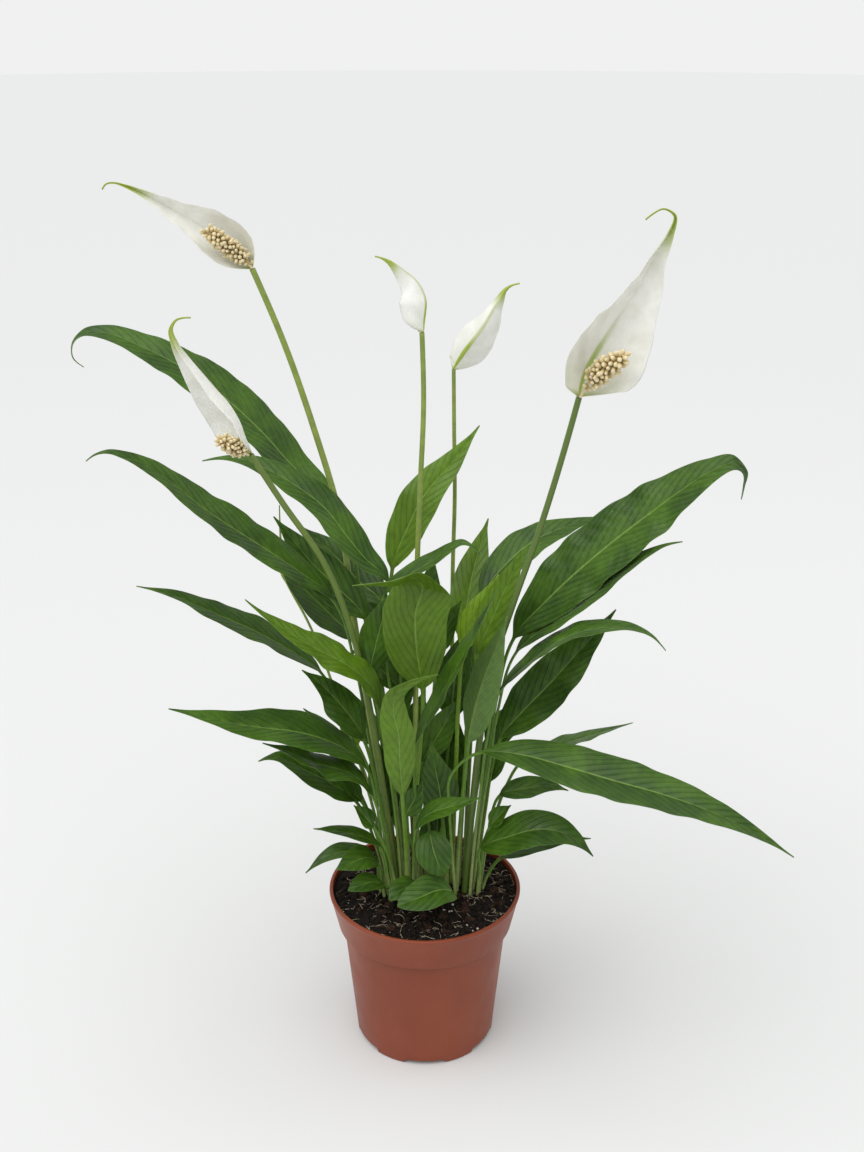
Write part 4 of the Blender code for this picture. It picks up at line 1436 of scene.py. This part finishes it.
# --------------------------------------------------------------------------------------------------
# The plant and the studio
# --------------------------------------------------------------------------------------------------
@dataclass
class Plant:
    """The whole plant, grown on the nodes of the frame."""

    ages: dict[str, Age] = field(default_factory=lambda: {
        "leaf_30": Age.YOUNG, **{f"leaf_{number}": Age.FRESH for number in ("08", 22, 23, 25, 29, 31)}})
    wavy: dict[str, float] = field(default_factory=lambda: {
        "leaf_09": 1.7, "leaf_12": 1.7, "leaf_36": 1.3, "leaf_33": 0.7, "leaf_08": 1.1})
    quilted: dict[str, float] = field(default_factory=lambda: {
        "leaf_33": 0.95, "leaf_36": 0.7, "leaf_23": 0.3, "leaf_38": 0.35, "leaf_40": 0.35, "leaf_01": 0.12})
    # How much darker each flower stem is drawn all along. On flower stem 2 the darkening is painted shade,
    # for it stands in the shade deep in the plant; flower stem 5 is drawn darker too
    stem_tones: dict[str, float] = field(default_factory=lambda: {
        "flower_stem_2": 0.7, "flower_stem_5": 0.95})
    young_inner: int = 2            # number of the one young leaf among the inner ones

    def leaves(self) -> None:
        """Builds every leaf that has a CAD node."""
        for node in sorted(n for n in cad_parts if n.startswith("leaf_")):
            Leaf(node, tone=self.ages.get(node, Age.GROWN).value, waves=self.wavy.get(node, Leaf.waves),
                 quilt=self.quilted.get(node, Leaf.quilt)).piece()

    def inner_leaves(self) -> None:
        """Builds the small leaves deep in the crowns."""
        up, front, straight = FillLeaf.looks, (-0.4, -1.0, 0.4), (0.0, -1.0, 0.4)
        # Number, root, the blade's base, middle and tip in millimetres, width, and where its top side looks
        rows = (
            (1, (-14, 6), (-15, 5, 240), (-29, 5, 256), (-44, 5, 266), 18, up),
            (2, (-20, 10), (-41, 10, 199), (-47, 11, 210), (-54, 11, 220), 14, up),
            (3, (-22, -3), (-39, -5, 169), (-47, -6, 179), (-55, -7, 187), 13, up),
            (4, (-17, -13), (-31, -25, 163), (-36, -26, 171), (-42, -27, 179), 12, up),
            (5, (-4, -9), (-11, -19, 167), (-6, -20, 179), (-1, -20, 191), 15, front),
            (6, (33, -6), (40, -15, 157), (46, -16, 166), (52, -17, 173), 12, up),
            (7, (2, 8), (9, 10, 262), (15, 10, 282), (22, 10, 296), 13, front),
            (8, (-6, 6), (-16, 5, 220), (-12, 5, 244), (-6, 5, 268), 16, front),
            (9, (4, 2), (-1, 5, 190), (10, 5, 212), (22, 5, 235), 19, front),
            (10, (-10, 14), (-18, 28, 230), (-26, 40, 262), (-38, 52, 285), 24, up),
            (11, (22, 12), (28, 30, 220), (36, 44, 248), (48, 56, 268), 22, up),
            (12, (0, 14), (0, 26, 250), (2, 36, 285), (6, 46, 310), 22, straight),
            (13, (-14, 13), (-30, 26, 190), (-44, 36, 205), (-58, 44, 212), 20, up),
            (15, (6, -2), (12, 6, 150), (17, 10, 178), (20, 12, 205), 24, front),
            (16, (-2, 8), (-8, 14, 150), (-8, 18, 185), (-4, 20, 215), 24, front),
            (17, (10, 6), (16, 14, 215), (19, 18, 245), (24, 20, 272), 24, front),
            (18, (-10, 2), (-20, 8, 150), (-26, 10, 180), (-30, 12, 205), 20, front),
            (19, (28, 2), (38, 6, 175), (44, 8, 200), (52, 10, 222), 18, front),
            (20, (-7, 5), (-8, 12, 184), (-5, 13, 211), (0, 14, 235), 24, front),
            (21, (12, 6), (16, 12, 166), (17, 15, 196), (17, 17, 226), 22, front),
            (22, (6, 3), (7, 4, 119), (8, 6, 145), (8, 7, 166), 22, front),
            (23, (-14, 6), (-15, 8, 161), (-18, 9, 186), (-20, 10, 206), 18, front),
            (14, (26, 10), (40, 22, 190), (54, 32, 205), (68, 40, 212), 20, up),
        )
        for number, root, base, middle, tip, width, looks in rows:
            age = Age.YOUNG if number == self.young_inner else Age.GROWN
            FillLeaf(f"leaf_inner_{number}", root=root, line=(base, middle, tip), width=width, looks=looks,
                     tone=age.value).piece()

    def flowers(self) -> None:
        """Builds every flower and the bud."""
        for number in range(1, 6):
            stem = f"flower_stem_{number}"
            Stem(stem, tone=self.stem_tones.get(stem, 0.0)).piece()
            Spathe(f"spathe_{number}", number=number).piece()
            Spadix(number).piece()
        Stem("bud", sides=20).piece()


@dataclass
class Studio:
    """A pale seamless floor under even light, and the camera."""

    floor_radius: float = 9.0
    floor_level: float = -0.0002    # a hair under the feet, so that the two don't flicker
    seen: float = 0.885             # brightness of the backdrop itself
    sky: float = 0.55               # and of the light that it sheds
    sun: float = 2.05
    sun_width: float = 75.0         # in degrees, for a soft shadow
    sun_from: tuple[float, float, float] = (-0.2, -0.35, 1.0)
    eye: tuple[float, float, float] = (0.0045, -0.785, 0.643)
    white: str = "#fefeff"
    tilt: float = 67.35
    lens: float = 46.19

    def floor(self) -> None:
        """Lays the floor, wide enough that its edge melts into the sky."""
        radii, count = (0.001, 0.25, 0.6, 1.2, 2.5, 5.0, self.floor_radius), 96
        points = [(r * math.cos(t), r * math.sin(t), self.floor_level) for r in radii for t in circle(count)]
        mesh = bpy.data.meshes.new("floor")
        mesh.from_pydata(points, [], tube_faces(len(radii), count, ends=False) + [tuple(range(count))])
        mesh.materials.append(StudioPaper().material())
        put("floor", mesh)

    def lights(self) -> None:
        """Sets an even sky, a wide sun and two soft panels."""
        world = bpy.data.worlds.new("studio")
        bpy.context.scene.world = world
        world.use_nodes = True
        backdrop = world.node_tree.nodes["Background"]
        direct = add_node(world.node_tree, "LightPath", {}, "Is Camera Ray")
        strength = add_node(world.node_tree, "Math", {0: direct, 1: self.seen - self.sky, 2: self.sky},
                            operation="MULTIPLY_ADD")
        fill(world.node_tree, backdrop, {"Color": linear(self.white), "Strength": strength})
        sun = bpy.data.lights.new("sun", "SUN")
        sun.energy, sun.angle = self.sun, math.radians(self.sun_width)
        self.aim(sun, self.sun_from, (0, 0, 0))
        for place, size, power in (((-0.9, -0.5, 1.25), 0.9, 2.5), ((1.0, 0.3, 1.0), 0.7, 1.0)):
            panel = bpy.data.lights.new("panel", "AREA")
            panel.shape, panel.size, panel.energy = "SQUARE", size, power
            self.aim(panel, place, (0, 0, 0.3))

    @staticmethod
    def aim(data: bpy.types.Light, place: Sequence[float], at: Sequence[float]) -> None:
        """Hangs a light and points it.

        Args:
            data: The light.
            place: Where it hangs.
            at: What it points at.
        """
        made = put(data.name, data)
        made.location = place
        made.rotation_euler = (Vector(at) - Vector(place)).to_track_quat("-Z", "Y").to_euler()

    def camera(self) -> None:
        """Sets the camera a little above the plant's middle, looking down at it."""
        data = bpy.data.cameras.new("camera")
        data.lens, data.sensor_width = self.lens, 36.0
        made = put("camera", data)
        made.location = self.eye
        made.rotation_euler = (math.radians(self.tilt), 0.0, 0.0)
        bpy.context.scene.camera = made

    def build(self) -> None:
        """Builds the studio."""
        self.floor()
        self.lights()
        self.camera()
        bpy.context.scene.view_settings.view_transform = "Standard"


def main() -> None:
    """Builds the pot, the soil, the plant and the studio."""
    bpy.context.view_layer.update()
    NurseryPot().piece()
    PottingSoil().pieces()
    plant = Plant()
    plant.leaves()
    plant.inner_leaves()
    plant.flowers()
    Studio().build()


if __name__ == "__main__":
    main()
